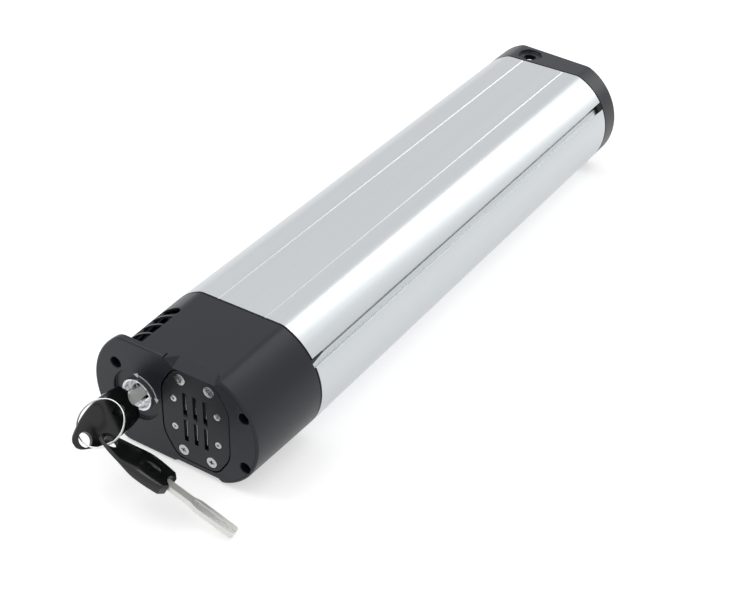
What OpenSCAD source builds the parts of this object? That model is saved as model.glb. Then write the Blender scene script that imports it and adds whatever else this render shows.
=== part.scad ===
// E-bike battery: an aluminium tube of cells, with a locking front end that carries the contacts
// and a locating cap at the rear. Millimetres. +Y runs to the rear, +Z is up, +X is to the right
// seen from the front. The origin is the middle of the flat underside.

/* [Case] */
// Width over the round sides
body_w = 90; // [86:1:100]
// Height between the top and bottom flats
body_h = 62; // [61:0.5:65]
// Radius of the round sides
side_r = 33; // [32.5:0.5:35]
// Wall of the aluminium tube
tube_wall = 2; // [1.6:0.1:2.4]
// Length of the aluminium tube
tube_l = 305; // [298:1:360]
// Length of the front shell, from the tube's seam to the front face
shell_l = 48.2; // [48:0.2:60]
// Wall of the front shell
shell_wall = 2.4; // [2:0.1:2.8]
// Length of the rear cap on the centre line
cap_l = 18.4; // [15:0.2:24]
// Slant of the rear face, seen from above, in degrees
cap_slant = 5.2; // [0:0.2:7]
// Wall of the rear cap
cap_wall = 2.6; // [2:0.1:3]
// Thickness of the seals between the tube and its ends
seal_t = 1; // [0.6:0.1:1.5]

/* [Tube details] */
// Angle of the side channels above the middle, in degrees
chan_ang = 29.5; // [26:0.5:32]
// Width of a side channel
chan_w = 4.4; // [3:0.1:5]
// Depth of a side channel
chan_d = 1.8; // [1:0.1:2]
// Depth of the narrow slit along a channel's upper edge
slit_d = 3; // [2.4:0.1:3.2]
// Width of that slit
slit_w = 0.9; // [0.6:0.1:1.1]
// Distance of the top grooves from the middle
groove_x = 13.4; // [8:0.2:20]
// Width of a top groove
groove_w = 0.8; // [0.4:0.1:1.2]
// Radius of a screw port's boss
port_r = 3.4; // [3:0.1:3.8]
// Distance of a screw port's axis below the round surface
port_inset = 5; // [4.9:0.05:5.4]
// Angle of the screw ports above and below the middle, in degrees
port_ang = 30.4; // [28:0.2:32]

/* [Front plate] */
// Thickness of the front plate
plate_t = 3; // [2.6:0.1:3.4]
// Radius of the plate's round left edge
lobe_r = 35.5; // [34:0.1:36]
// Distance that this edge stands out past the case's left side
lobe_out = 4.8; // [4.4:0.1:5.2]
// Left end of the shell's rim round the plate, from the middle
rim_x = 7; // [6:0.5:10]
// Thickness of the shell's rim round the plate
rim_t = 1.4; // [1.1:0.1:1.6]
// Radius of the four deep screw holes
deep_r = 2.9; // [2.8:0.05:3]
// Depth of the screw seats below the front face
seat_d = 12.2; // [9:0.2:16]

/* [Windows] */
// First window's distance behind the front face
window_y = 3.4; // [3.1:0.1:3.8]
// Length of a window along the case
window_l = 6.5; // [6.2:0.1:6.8]
// Spacing of the windows
window_pitch = 7.7; // [7.5:0.05:7.9]
// Distance of the windows' right edge inside the case's left side
window_in = 22.9; // [22.5:0.1:23.5]
// Height of the windows' lower edge above the middle
window_z = 23.4; // [20:0.2:25]

/* [Connector] */
// Distance of the connector's centre to the right of the middle
conn_x = 9; // [8.5:0.1:9.5]
// Width of the connector body
conn_w = 37.5; // [37:0.1:38]
// Height of the connector body
conn_h = 50.6; // [50:0.1:51]
// Thickness of the connector body
conn_t = 7.2; // [6:0.1:8]
// Width that each cut corner takes
corner_x = 7.5; // [6:0.1:8]
// Height that each cut corner takes
corner_z = 12; // [10:0.1:12.5]
// Spacing of the contact slots
slot_pitch = 5.7; // [5.4:0.1:6]
// Width of a contact slot
slot_w = 2.2; // [2.2:0.1:2.8]
// Height of a contact slot
slot_h = 12.4; // [11.2:0.1:13]
// Height of the slot rows' centres above and below the middle
slot_z = 7.7; // [7.2:0.1:8]
// Length of the contact carrier behind the connector body
carrier_l = 14; // [10:0.5:16]
// Depth of the ramp above the connector, from the top surface
ramp_d = 5.3; // [5:0.1:5.8]
// Depth of the ramp below the connector, from the bottom surface
low_ramp_d = 3; // [2:0.1:5]
// Length of the ramps along the case
ramp_l = 3.7; // [3:0.1:3.9]

/* [Lock] */
// Distance of the lock's axis inside the case's left side
lock_in = 19.9; // [19.7:0.1:20.1]
// Length of the lock body behind the front face
lock_l = 33.2; // [32.8:0.1:33.2]
// Radius of the lock's nose
nose_r = 8.5; // [8.2:0.1:9]
// Radius of the hollow in the nose
throat_r = 7.4; // [7:0.1:7.6]
// Depth of the plug's face below the front face
plug_y = 4.3; // [3:0.1:5]
// Radius of the plug
plug_r = 6.5; // [6.2:0.1:6.8]
// Radius of the lock's barrel
barrel_r = 11; // [10:0.1:11]
// Radius of the round recess in the front plate
dish_r = 13.4; // [12:0.1:13.6]
// Depth of that recess
dish_d = 1.6; // [0.8:0.1:1.8]
// Radius of the driver pin's path
orbit_r = 5.66; // [5.4:0.02:5.66]
// Radius of the driver pin
pin_r = 1.8; // [1.5:0.1:1.8]
// Height of the bolt's tip above the middle, with the lock open
tip_z = 26.5; // [25:0.1:27]

/* [Keys] */
// Angle of the key in the lock, clockwise from level, in degrees
key_turn = 50; // [45:1:55]
// Length of the key blade beyond the head's end
blade_l = 35; // [30:0.5:35]
// Width of the key blade
blade_w = 8; // [7:0.1:8]
// Thickness of the key blade
blade_t = 2.4; // [1.6:0.1:2.4]
// Width of the key blade's neck
neck_w = 5.2; // [4.4:0.1:6]
// Length of that neck beyond the head's end
neck_l = 11; // [8:0.5:13]
// Length of the key head
head_l = 38.2; // [36:0.2:40]
// Width of the key head
head_w = 20; // [19:0.2:21]
// Thickness of the key head
head_t = 6; // [5:0.1:6.4]
// Thickness of the key head at its eye
head_tip_t = 2.2; // [2:0.1:2.4]
// Radius of the hole in the key head
key_hole_r = 3.5; // [3.3:0.05:3.6]
// Radius of the split ring's centre line
ring_r = 11.3; // [11:0.1:12]
// Radius of the split ring's section
wire_r = 0.65; // [0.5:0.05:0.7]

/* [Rear cap] */
// Radius of the locating hole
rear_hole_r = 3.7; // [3.2:0.1:4.4]
// Distance of the locating hole to the left of the middle
rear_hole_x = 13.7; // [12:0.1:15]
// Distance of the locating hole behind the tube's end
rear_hole_y = 9.5; // [9:0.1:9.6]
// Radius of the recess round the locating hole
rear_dish_r = 7.2; // [6:0.1:7.4]
// Depth of that recess
rear_dish_d = 1.6; // [0.8:0.1:2]
// Thickness of the plate that the locating hole goes through
rear_plate_t = 3.4; // [2.6:0.1:4]
// Width of the pocket behind the locating hole
pocket_w = 22; // [18:0.5:24]
// Height of the pocket
pocket_h = 14; // [10:0.5:18]

/* [Cells] */
// Radius of a cell
cell_r = 9.15; // [8.9:0.05:9.2]
// Length of a cell
cell_l = 65; // [60:0.5:65.5]
// Spacing of the cells
cell_pitch = 19; // [18.8:0.05:19.2]
// Distance of the first cell layer behind the front seam
cells_y = 29; // [29:0.2:31]
// Thickness of a cell holder plate
holder_t = 9; // [5:0.5:14]
// Thickness of the nickel strips
strip_t = 0.3; // [0.15:0.05:0.5]
// Width of the nickel strips
strip_w = 7; // [5:0.5:8]
// Thickness of the insulation sheets
sheet_t = 0.8; // [0.4:0.1:1]

/* [Electronics] */
// Distance of the management board's edges inside the case's sides
board_side = 14; // [13.5:0.5:15]
// Distance of the management board's edges inside the case's top and bottom
board_top = 4; // [4:0.5:4.5]
// Thickness of the management board
board_t = 1.6; // [1:0.1:2]
// Distance of the management board behind the front seam
board_y = 12; // [11:0.5:14]
// Distance of the board tray behind the front seam
tray_y = 24; // [22:0.5:24]
// Thickness of the board tray
tray_t = 2; // [1.5:0.1:2.5]
// Radius of a power lead
lead_r = 1.5; // [1:0.1:1.6]
// Radius of a signal lead
signal_r = 0.8; // [0.5:0.1:1]
// Distance of the pack leads' axes inside the case's top and bottom
lead_inset = 5.5; // [5.2:0.1:6]

/* [Fasteners] */
// Shank radius of the screws that go into the tube's ports
screw_r = 1.3; // [1:0.05:1.4]
// Head radius of those screws
screw_head_r = 2.6; // [2.2:0.1:2.7]
// Head height of those screws
screw_head_h = 2.2; // [1.6:0.1:2.6]
// Length of the front screws under the head
long_screw_l = 46; // [40:1:50]
// Length of the rear screws under the head
rear_screw_l = 16; // [12:1:20]

/* [Hidden] */
$fn = 64;

// Overrun of a cut past the surface that it opens
over = 1;
// Gap between pieces that are put in place by hand
gap = 0.3;
// Gap round a piece that is held snugly
snug = 0.1;
// Gap of a turning fit
running = 0.05;

// Centre of a round side from the middle
side_c = body_w / 2 - side_r;
// Axis of a screw port from the middle
port_x = side_c + (side_r - port_inset) * cos(port_ang);
port_z = (side_r - port_inset) * sin(port_ang);
// Radius of the hole in a screw port
port_hole_r = screw_r + snug;
// Metal behind a channel, which joins the channel to the port
back_d = 5.5;
back_w = 8;
// Tongues of the shell and lugs of the rear seal in the channels
tongue_w = 1.8;
tongue_l = 8.5;
lug_l = 5;

// Places that follow the case's left side, from the middle
lock_x = body_w / 2 - lock_in;
window_x = body_w / 2 - window_in;
lobe_x = body_w / 2 + lobe_out - lobe_r;

// Number of windows, of which the last lets the lock bolt out
windows = 4;
// Posts of the front shell and its wall at the seam
post_r = 3.9;
bulkhead_t = 2;
shank_gap = 0.4;
lobe_inset = 0.4;
// Opening for the leads in the wall at the seam
lead_margin = 3;
lead_hole_w = 2 * (slot_pitch + lead_margin);
lead_hole_h = 2 * (slot_z + lead_margin);
// Thick lips of the shell above and below the connector
lip_l = 4;
lip_w = 33;
// Widths of a ramp at its bottom edge, at its top edge on the front face and at its back edge
ramp_foot_w = 23;
ramp_mouth_w = 31.2;
ramp_back_w = 21;

// Connector: screw places from its centre, tray and bosses behind it
large_x = 8;
large_in = 4.9;
large_z = conn_h / 2 - large_in;
large_head_r = 2.9;
large_head_h = 1.7;
large_shank_r = 1.4;
large_boss_r = 3.4;
large_boss_l = 6;
small_x = 12.25;
small_z = 8.1;
small_head_r = 1.8;
small_head_h = 1.1;
small_shank_r = 0.9;
small_screw_l = 14;
tray_wall = 1.6;
tray_floor = 2;
carrier_w = 29;
carrier_h = 29.2;
// Contacts: two leaves on a base, and a round crimp
leaf_t = 0.4;
leaf_gap = 1.1;
leaf_h = 10;
leaf_y = 0.8;
contact_base_t = 1;
crimp_r = 1.4;
crimp_l = 7;

// Lock: fixing ears, flange for the bolt guide, driver and bolt
ear_z = 17;
ear_r = 3.5;
ear_t = 3;
ear_head_r = 2.4;
ear_head_h = 1.8;
ear_shank_r = 1.2;
ear_bite = 2.2;
flange_t = 3;
guide_h = 19;
rail_w = 3.5;
bolt_left = 8.2;
bolt_right = 10;
bolt_t = 5;
bolt_h = 10;
driver_t = 2;
driver_r = 7.6;
driver_screw_off = 4;
driver_head_r = 1.5;
driver_head_h = 0.9;
driver_shank_r = 0.8;
driver_screw_l = 6;
guide_cover_t = 2;
guide_screw_z = 6;
guide_shank_r = 1.1;
guide_head_r = 1.6;
guide_head_h = 0.8;
bolt_arm_z = 12;
bolt_arm_t = 5;
slot_gap = 0.35;
pin_side = orbit_r * sin(45);
driver_y = lock_l + 2 * snug;
bolt_y = driver_y + driver_t + gap;
guide_y = bolt_y + bolt_t + gap;
guide_w = bolt_left + bolt_right + 2 * gap + 2 * rail_w;
guide_x = (bolt_right - bolt_left) / 2;
// Round nose of the bolt, which fits the last window
nose_x = lock_x - window_x - window_l / 2;
nose_y = window_y + (windows - 1) * window_pitch + window_l / 2;
bolt_nose_r = window_l / 2 - gap;

// Keys: head from its blade end, its two flank arcs, taper to a thin eye, notch and hole
head_s = 4;
flank_r = 46;
flank_share = 0.34;
taper_share = 0.37;
eye_share = 0.68;
notch_r = 4.6;
notch_back = 1.5;
horn_w = 10;
horn_l = 3;
hole_back = 5.7;
hole_s = head_s + head_l - hole_back;
hole_w = 1;
blade_in_head = 12;
blade_cut = 1;
flare_l = 4;
blade_gap = 0.2;
mill_w = 1.4;
mill_t = 0.45;
mill_off = 1.2;
dent_r = 2.6;
dent_l = 5;
dent_t = 0.5;
dent_in = 11;
dent_s = head_s + dent_in;
// Pose of the ring in the first key's hole, in degrees, and its place off the hole's centre
ring_angles = [-46.3, -31.8, -161.8];
ring_off = [1.1, 0.6, 0];
// Place of the second key on the ring, its lean, in degrees, and the ring's place in its hole
ring_place = 252.5;
key_2_roll = 19;
key_2_yaw = -172;
hang_off = [-0.4, -0.6, 0];
floor_gap = 0.4;

// Rear cap: screw seats, posts and pocket
rear_seat_y = 5;
rear_post_r = 4.2;
pocket_wall = 2;
pocket_y = 3.5;

// Rows of cells: as many as the height holds, half a spacing apart sideways, and in each as
// many cells as the round sides leave room for
row_z = cell_pitch * sin(60);
rows = 1 + floor((body_h - 2 * (tube_wall + gap + cell_r)) / row_z);
last_row_z = (rows - 1) / 2 * row_z;
middle_row = floor(rows / 2);
function row_place(j) = j * row_z - last_row_z;
cell_room_r = side_r - tube_wall - gap - cell_r;
function row_fit(z) = 1 + floor(2 * (side_c + sqrt(cell_room_r * cell_room_r - z * z)) / cell_pitch);
function row_cells(j) = row_fit(row_place(j))
    - (row_fit(row_place(j)) + row_fit(row_place(middle_row)) + abs(j - middle_row)) % 2;
layers = 4;
layer_pitch = cell_l + 2 * strip_t + sheet_t;
cells_end = cells_y + layers * layer_pitch - sheet_t - strip_t;
// Valley between two cells of an outer row, whose middle is a cell or a valley
valley_x = cell_pitch / 2 * (1 + (row_cells(rows - 1) + 1) % 2);
lead_z = body_h / 2 - lead_inset;
passage_gap = 0.4;
harness_r = 2.6;
wire_pitch = 1.5;
balance_r = 0.6;
tie_w = 6;
tab_w = 1.2;
lead_tab_w = 5;

// Board, its four posts and its parts
board_w = body_w - 2 * board_side;
board_h = body_h - 2 * board_top;
board_inset = 3;
post_in_x = 3.5;
post_in_z = 5;
post_x = board_w / 2 - post_in_x;
post_z = board_h / 2 - post_in_z;
standoff_r = 2.5;
board_screw_r = 1.1;
board_screw_head_r = 2.2;
board_screw_head_h = 1.2;
board_screw_l = 8;
chip_w = 9;
chip_h = 6.5;
chip_t = 2.4;
chip_in = 15;
chip_x = board_w / 2 - chip_in;
chip_pitch_x = 12;
chip_pitch_z = 8.5;
sink_w = 24;
sink_h = 26;
sink_t = 2;
fin_t = 1.2;
fin_l = 4;
fins = 6;
cap_r = 3.2;
can_l = 7;
can_in = 10.5;
can_x = board_w / 2 - can_in;
can_z = 15.5;
fuse_in = 7;
fuse_x = board_w / 2 - fuse_in;
fuse_w = 7;
fuse_h = 14;
fuse_l = 6;

// Colours of the finishes
silver = "#c8cbcd";
charcoal = "#2c2e31";
black = "#141516";
nickel = "#b9bcbf";
chrome = "#d5d7d9";
brass = "#b08d4a";
green = "#1f5a3a";
teal = "#3f8f86";
red = "#b3261e";
white = "#e8e6df";

// Round bar or bore along Y
module rod(r, y0, y1, x = 0, z = 0) {
    translate([x, y1, z]) rotate([90, 0, 0]) cylinder(r = r, h = y1 - y0);
}

// Flat shape in X and Z, made solid from y0 to y1
module slab(y0, y1) {
    translate([0, y1, 0]) rotate([90, 0, 0]) linear_extrude(y1 - y0) children();
}

// Block from y0 to y1, centred on x and z
module block(w, h, y0, y1, x = 0, z = 0) {
    translate([x - w / 2, y0, z - h / 2]) cube([w, y1 - y0, h]);
}

// Countersunk screw whose head's face is at y0
module countersunk(head_r, head_h, shank_r, l, grow = 0) {
    translate([0, head_h, 0]) rotate([90, 0, 0])
        cylinder(r1 = shank_r + grow, r2 = head_r + grow, h = head_h);
    rod(shank_r + grow, head_h / 2, l);
}

// Frames of the three ends: y is 0 at the front face, the front seam and the tube's rear end
module at_front() { translate([0, -tube_l / 2 - shell_l, body_h / 2]) children(); }
module at_seam() { translate([0, -tube_l / 2, body_h / 2]) children(); }
module at_rear() { translate([0, tube_l / 2, body_h / 2]) children(); }
module at_lock() { at_front() translate([-lock_x, 0, 0]) children(); }
module at_conn() { at_front() translate([conn_x, 0, 0]) children(); }

// Copies at the four places x to each side and z up and down
module four(x, z) {
    for (sx = [-1, 1], sz = [-1, 1]) translate([sx * x, 0, sz * z]) children();
}
module four_flat(x, z) {
    for (sx = [-1, 1], sz = [-1, 1]) translate([sx * x, sz * z]) children();
}

// Cross-section of the case, drawn in by an inset
module outline(inset = 0) {
    r = side_r - inset;
    intersection() {
        union() {
            for (s = [-1, 1]) translate([s * side_c, 0]) circle(r = r);
            square([2 * side_c, 2 * r], center = true);
        }
        square([2 * body_w, body_h - 2 * inset], center = true);
    }
}

// Frame of each side channel: x runs outwards from the side's centre, y runs up across it
module in_channels() {
    for (s = [0, 1]) mirror([s, 0]) translate([side_c, 0]) rotate(chan_ang) children();
}

module channel_cut() {
    translate([side_r - chan_d, -chan_w / 2]) square([chan_d + over, chan_w]);
    translate([side_r - slit_d, chan_w / 2 - slit_w]) square([slit_d + over, slit_w]);
}

module channel_back(grow = 0) {
    translate([side_r - back_d - grow, -back_w / 2 - grow])
        square([back_d - tube_wall / 2 + 2 * grow, back_w + 2 * grow]);
}

// Room inside the tube, clear of its ports
module room() {
    difference() {
        outline(tube_wall + gap);
        four_flat(port_x, port_z) circle(r = port_r + gap);
        in_channels() channel_back(gap);
    }
}

module tube() {
    color(silver) at_seam() slab(0, tube_l) difference() {
        union() {
            difference() {
                outline();
                outline(tube_wall);
            }
            intersection() {
                outline(tube_wall / 2);
                union() {
                    four_flat(port_x, port_z) circle(r = port_r);
                    in_channels() channel_back();
                }
            }
        }
        four_flat(port_x, port_z) circle(r = port_hole_r);
        in_channels() channel_cut();
        for (s = [-1, 1]) translate([s * groove_x, body_h / 2]) rotate(45)
            square(groove_w / sqrt(2), center = true);
    }
}

// Seal between the tube and an end, which leaves the channels open or fills them
module seal_ring(y0, y1, open) {
    slab(y0, y1) difference() {
        outline(gap);
        difference() {
            outline(tube_wall);
            in_channels() channel_back();
        }
        if (open) in_channels() channel_cut();
        four_flat(port_x, port_z) circle(r = port_hole_r);
    }
}

// Tongues of width w along the upper edges of the side channels
module tongues(w, y0, y1) {
    slab(y0, y1) in_channels() translate([side_r - chan_d + snug, chan_w / 2 - snug - w])
        square([chan_d - 2 * snug, w]);
}

// Ramp cut into the shell's front edge, depth d below the flat
module ramp(d) {
    top = body_h / 2;
    wide = ramp_mouth_w - ramp_foot_w;
    far = d + over;
    front_z = top - d - over * d / ramp_l;
    intersection() {
        // Sloping floor
        translate([-body_w / 2, 0, 0]) rotate([90, 0, 90]) linear_extrude(body_w)
            polygon([[-over, front_z], [-over, top + over], [ramp_l * far / d, top + over]]);
        // Spread towards the top
        slab(-over, ramp_l * far / d) polygon([[-ramp_foot_w / 2, top - d], [ramp_foot_w / 2, top - d],
            [ramp_foot_w / 2 + wide / 2 * far / d, top + over],
            [-ramp_foot_w / 2 - wide / 2 * far / d, top + over]]);
        // Draw in towards the back
        linear_extrude(2 * top) polygon([[-ramp_mouth_w / 2, -over], [ramp_mouth_w / 2, -over],
            [ramp_mouth_w / 2, 0], [ramp_back_w / 2, ramp_l], [ramp_back_w / 2, 2 * ramp_l],
            [-ramp_back_w / 2, 2 * ramp_l], [-ramp_back_w / 2, ramp_l], [-ramp_mouth_w / 2, 0]]);
    }
}

// Lips above and below the connector, grown on all sides
module lips(grow = 0) {
    h = body_h / 2 - conn_h / 2 - gap;
    for (s = [-1, 1]) translate([conn_x, 0, s * (body_h / 2 - h / 2)])
        block(lip_w + 2 * grow, h + 2 * grow, -grow, lip_l + grow);
}

module front_shell() {
    bulk_y = shell_l - seal_t - bulkhead_t;
    color(charcoal) at_front() difference() {
        union() {
            slab(plate_t, shell_l - seal_t) difference() {
                outline();
                outline(shell_wall);
            }
            // Rim round the right part of the front plate
            slab(0, plate_t) intersection() {
                difference() {
                    outline();
                    outline(rim_t);
                }
                translate([-rim_x, -body_h]) square([body_w, 2 * body_h]);
            }
            intersection() {
                slab(0, lip_l) outline(rim_t / 2);
                lips();
            }
            // Wall at the seam and the four screw posts
            slab(bulk_y, shell_l - seal_t) outline(shell_wall / 2);
            intersection() {
                slab(plate_t, bulk_y + bulkhead_t / 2) outline(shell_wall / 2);
                four(port_x, port_z) rod(post_r, plate_t, bulk_y + bulkhead_t / 2);
            }
            tongues(tongue_w, shell_l - seal_t - snug, shell_l + tongue_l);
        }
        four(port_x, port_z) {
            rod(deep_r, -over, seat_d);
            rod(screw_r + shank_gap, seat_d - over, shell_l + over);
        }
        for (i = [0 : windows - 2]) translate([-body_w, window_y + i * window_pitch, window_z])
            cube([body_w - window_x, window_l, body_h]);
        // Last window, round at its right end
        translate([-window_x - window_l / 2, window_y + (windows - 1) * window_pitch, window_z]) {
            translate([-body_w, 0, 0]) cube([body_w, window_l, body_h]);
            translate([0, window_l / 2, 0]) cylinder(r = window_l / 2, h = body_h);
        }
        block(lead_hole_w, lead_hole_h, bulk_y - over, shell_l + over, conn_x);
        translate([conn_x, 0, 0]) {
            ramp(ramp_d);
            mirror([0, 0, 1]) ramp(low_ramp_d);
        }
    }
}

// Eight-sided outline of the connector, grown on all sides
module octagon(grow = 0) {
    w = conn_w / 2 + grow;
    h = conn_h / 2 + grow;
    polygon([[w, -h + corner_z], [w, h - corner_z], [w - corner_x, h], [-w + corner_x, h],
        [-w, h - corner_z], [-w, -h + corner_z], [-w + corner_x, -h], [w - corner_x, -h]]);
}

module plate_outline() {
    half = body_h / 2 - lobe_inset;
    intersection() {
        translate([-lobe_x, 0]) circle(r = lobe_r);
        translate([-body_w - rim_x - snug, -half]) square([body_w, 2 * half]);
    }
    intersection() {
        outline(rim_t + snug);
        translate([-rim_x - over, -body_h]) square([body_w, 2 * body_h]);
    }
}

module front_plate() {
    floor_y = conn_t + tray_floor;
    color(charcoal) at_front() difference() {
        union() {
            slab(0, plate_t) plate_outline();
            // Tray that the connector body sits in, with a boss for each large screw
            slab(plate_t / 2, floor_y) translate([conn_x, 0]) intersection() {
                octagon(gap + tray_wall);
                square([body_w, body_h - 2 * shell_wall - 2 * gap], center = true);
            }
            translate([conn_x, 0, 0]) four(large_x, large_z)
                rod(large_boss_r, conn_t, floor_y + large_boss_l);
        }
        lips(snug);
        slab(-over, conn_t) translate([conn_x, 0]) octagon(gap);
        block(carrier_w + 2 * snug, carrier_h + 2 * snug, conn_t - over, floor_y + over, conn_x);
        translate([conn_x, 0, 0]) four(large_x, large_z)
            rod(large_shank_r + running, conn_t - over, floor_y + large_boss_l + over);
        four(port_x, port_z) rod(deep_r, -over, plate_t + over);
        translate([-lock_x, 0, 0]) {
            rod(dish_r, -over, dish_d);
            rod(nose_r + snug, -over, plate_t + over);
            for (s = [-1, 1])
                rod(ear_shank_r + running, plate_t - ear_bite - snug, plate_t + over, 0, s * ear_z);
        }
    }
}

module front_seal() { color(black) at_seam() seal_ring(-seal_t, 0, true); }

module front_screws() {
    color(nickel) at_front() four(port_x, port_z) {
        rod(screw_head_r, seat_d - screw_head_h, seat_d);
        rod(screw_r, seat_d - screw_head_h / 2, seat_d + long_screw_l);
    }
}

// Rear cap's outer form with its slanted face at l on the centre line
module cap_form(inset, y0, l) {
    difference() {
        slab(y0, 2 * cap_l) outline(inset);
        translate([0, l, 0]) rotate([0, 0, -cap_slant])
            translate([-body_w, 0, -body_h]) cube([2 * body_w, 2 * cap_l, 2 * body_h]);
    }
}

module rear_cap() {
    hole_z = body_h / 2 - rear_dish_d - rear_plate_t;
    color(charcoal) at_rear() difference() {
        union() {
            difference() {
                cap_form(0, seal_t, cap_l);
                cap_form(cap_wall, 0, cap_l - cap_wall);
            }
            // Walls round the pocket and the four screw posts
            intersection() {
                cap_form(cap_wall / 2, seal_t, cap_l - cap_wall / 2);
                union() {
                    block(pocket_w + 2 * pocket_wall, body_h, seal_t, 2 * cap_l, -rear_hole_x,
                        hole_z - pocket_h - pocket_wall + body_h / 2);
                    four(port_x, port_z) rod(rear_post_r, seal_t, 2 * cap_l);
                }
            }
        }
        block(pocket_w, pocket_h, pocket_y, 2 * cap_l, -rear_hole_x, hole_z - pocket_h / 2);
        translate([-rear_hole_x, rear_hole_y, hole_z - over]) cylinder(r = rear_hole_r, h = body_h);
        translate([-rear_hole_x, rear_hole_y, body_h / 2 - rear_dish_d])
            cylinder(r = rear_dish_r, h = rear_dish_d + over);
        four(port_x, port_z) {
            rod(screw_r + shank_gap, -over, rear_seat_y + over);
            rod(deep_r, rear_seat_y, 2 * cap_l);
        }
    }
}

module rear_seal() {
    color(black) at_rear() {
        seal_ring(0, seal_t, false);
        tongues(chan_w - 2 * snug, -lug_l, seal_t / 2);
    }
}

module rear_screws() {
    color(nickel) at_rear() four(port_x, port_z) {
        rod(screw_head_r, rear_seat_y, rear_seat_y + screw_head_h);
        rod(screw_r, rear_seat_y - rear_screw_l, rear_seat_y + screw_head_h / 2);
    }
}

// Copies at the six contact places
module six() {
    for (i = [-1, 0, 1], s = [-1, 1]) translate([i * slot_pitch, 0, s * slot_z]) children();
}

module connector_body() {
    color(charcoal) at_conn() difference() {
        slab(0, conn_t) octagon();
        six() block(slot_w, slot_h, -over, conn_t + over);
        four(large_x, large_z)
            countersunk(large_head_r, large_head_h, large_shank_r, conn_t + over, running);
        four(small_x, small_z)
            countersunk(small_head_r, small_head_h, small_shank_r, conn_t + over, running);
    }
}

module contact_carrier() {
    color(black) at_conn() difference() {
        block(carrier_w, carrier_h, conn_t, conn_t + carrier_l);
        six() block(leaf_gap + 2 * leaf_t + 2 * snug, leaf_h + 2 * snug, conn_t - over,
            conn_t + carrier_l + over);
        four(small_x, small_z) rod(small_shank_r + running, conn_t - over, small_screw_l + snug);
    }
}

module contacts() {
    back = conn_t + carrier_l;
    color(nickel) at_conn() six() {
        for (s = [-1, 1]) block(leaf_t, leaf_h, leaf_y, back, s * (leaf_gap + leaf_t) / 2);
        block(leaf_gap + leaf_t, leaf_h, back - contact_base_t, back);
        rod(crimp_r, back, back + crimp_l);
    }
}

module connector_screws() {
    color(nickel) at_conn() four(large_x, large_z) countersunk(large_head_r, large_head_h,
        large_shank_r, conn_t + tray_floor + large_boss_l - snug);
}

module carrier_screws() {
    color(nickel) at_conn() four(small_x, small_z)
        countersunk(small_head_r, small_head_h, small_shank_r, small_screw_l);
}

// Straight leads from the crimps in column i to the management board
module leads(i, r) {
    at_conn() for (s = [-1, 1])
        rod(r, conn_t + carrier_l + crimp_l, shell_l + board_y, i * slot_pitch, s * slot_z);
}

module positive_leads() { color(red) leads(-1, lead_r); }
module negative_leads() { color(black) leads(1, lead_r); }
module signal_leads() { color(white) leads(0, signal_r); }

// Frame of the first key: x runs out of the lock, y across the key and z through it
module at_key_1() { at_lock() rotate([0, key_turn, 0]) rotate([0, 0, -90]) children(); }

// Places of the bolt guide's four screws
module guide_places() {
    for (x = [-bolt_left - gap - rail_w / 2, bolt_right + gap + rail_w / 2], s = [-1, 1])
        translate([x, 0, s * guide_screw_z]) children();
}

module lock_body() {
    color(chrome) at_lock() difference() {
        union() {
            rod(nose_r, 0, plate_t + ear_t);
            rod(barrel_r, plate_t, lock_l);
            for (s = [-1, 1]) rod(ear_r, plate_t, plate_t + ear_t, 0, s * ear_z);
            block(2 * ear_r, 2 * ear_z, plate_t, plate_t + ear_t);
            block(guide_w, guide_h, lock_l - flange_t, lock_l, guide_x);
        }
        rod(throat_r, -over, plug_y);
        rod(plug_r + running, plug_y - over, lock_l + over);
        for (s = [-1, 1]) rod(ear_shank_r + running, plate_t - over, plate_t + ear_t + over, 0, s * ear_z);
        guide_places() rod(guide_shank_r + running, lock_l - flange_t + ear_shank_r, lock_l + over);
    }
}

module lock_screws() {
    back = plate_t + ear_t;
    color(nickel) at_lock() for (s = [-1, 1]) {
        rod(ear_head_r, back, back + ear_head_h, 0, s * ear_z);
        rod(ear_shank_r, plate_t - ear_bite, back + ear_head_h / 2, 0, s * ear_z);
    }
}

module lock_plug() {
    keyway_end = blade_l - head_s + 2 * gap;
    color(chrome) difference() {
        at_lock() rod(plug_r, plug_y, driver_y);
        at_key_1() translate([-keyway_end, -blade_w / 2 - blade_gap, -blade_t / 2 - blade_gap])
            cube([keyway_end, blade_w + 2 * blade_gap, blade_t + 2 * blade_gap]);
        driver_screw_places() rotate([0, 0, 180])
            rod(driver_shank_r + running, -over, driver_screw_l + snug);
    }
}

// Places of the two driver screws, beside the keyway on the driver's back
module driver_screw_places() {
    for (s = [-1, 1]) at_lock() rotate([0, key_turn, 0])
        translate([0, driver_y + driver_t, s * driver_screw_off]) children();
}

module lock_driver() {
    color(nickel) difference() {
        at_lock() {
            rod(driver_r, driver_y, driver_y + driver_t);
            rod(pin_r, driver_y + driver_t / 2, bolt_y + bolt_t, pin_side, -pin_side);
        }
        driver_screw_places() rotate([0, 0, 180])
            countersunk(driver_head_r, driver_head_h, driver_shank_r, driver_t + over, running);
    }
}

module driver_screws() {
    color(nickel) driver_screw_places() rotate([0, 0, 180])
        countersunk(driver_head_r, driver_head_h, driver_shank_r, driver_screw_l);
}

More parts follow.
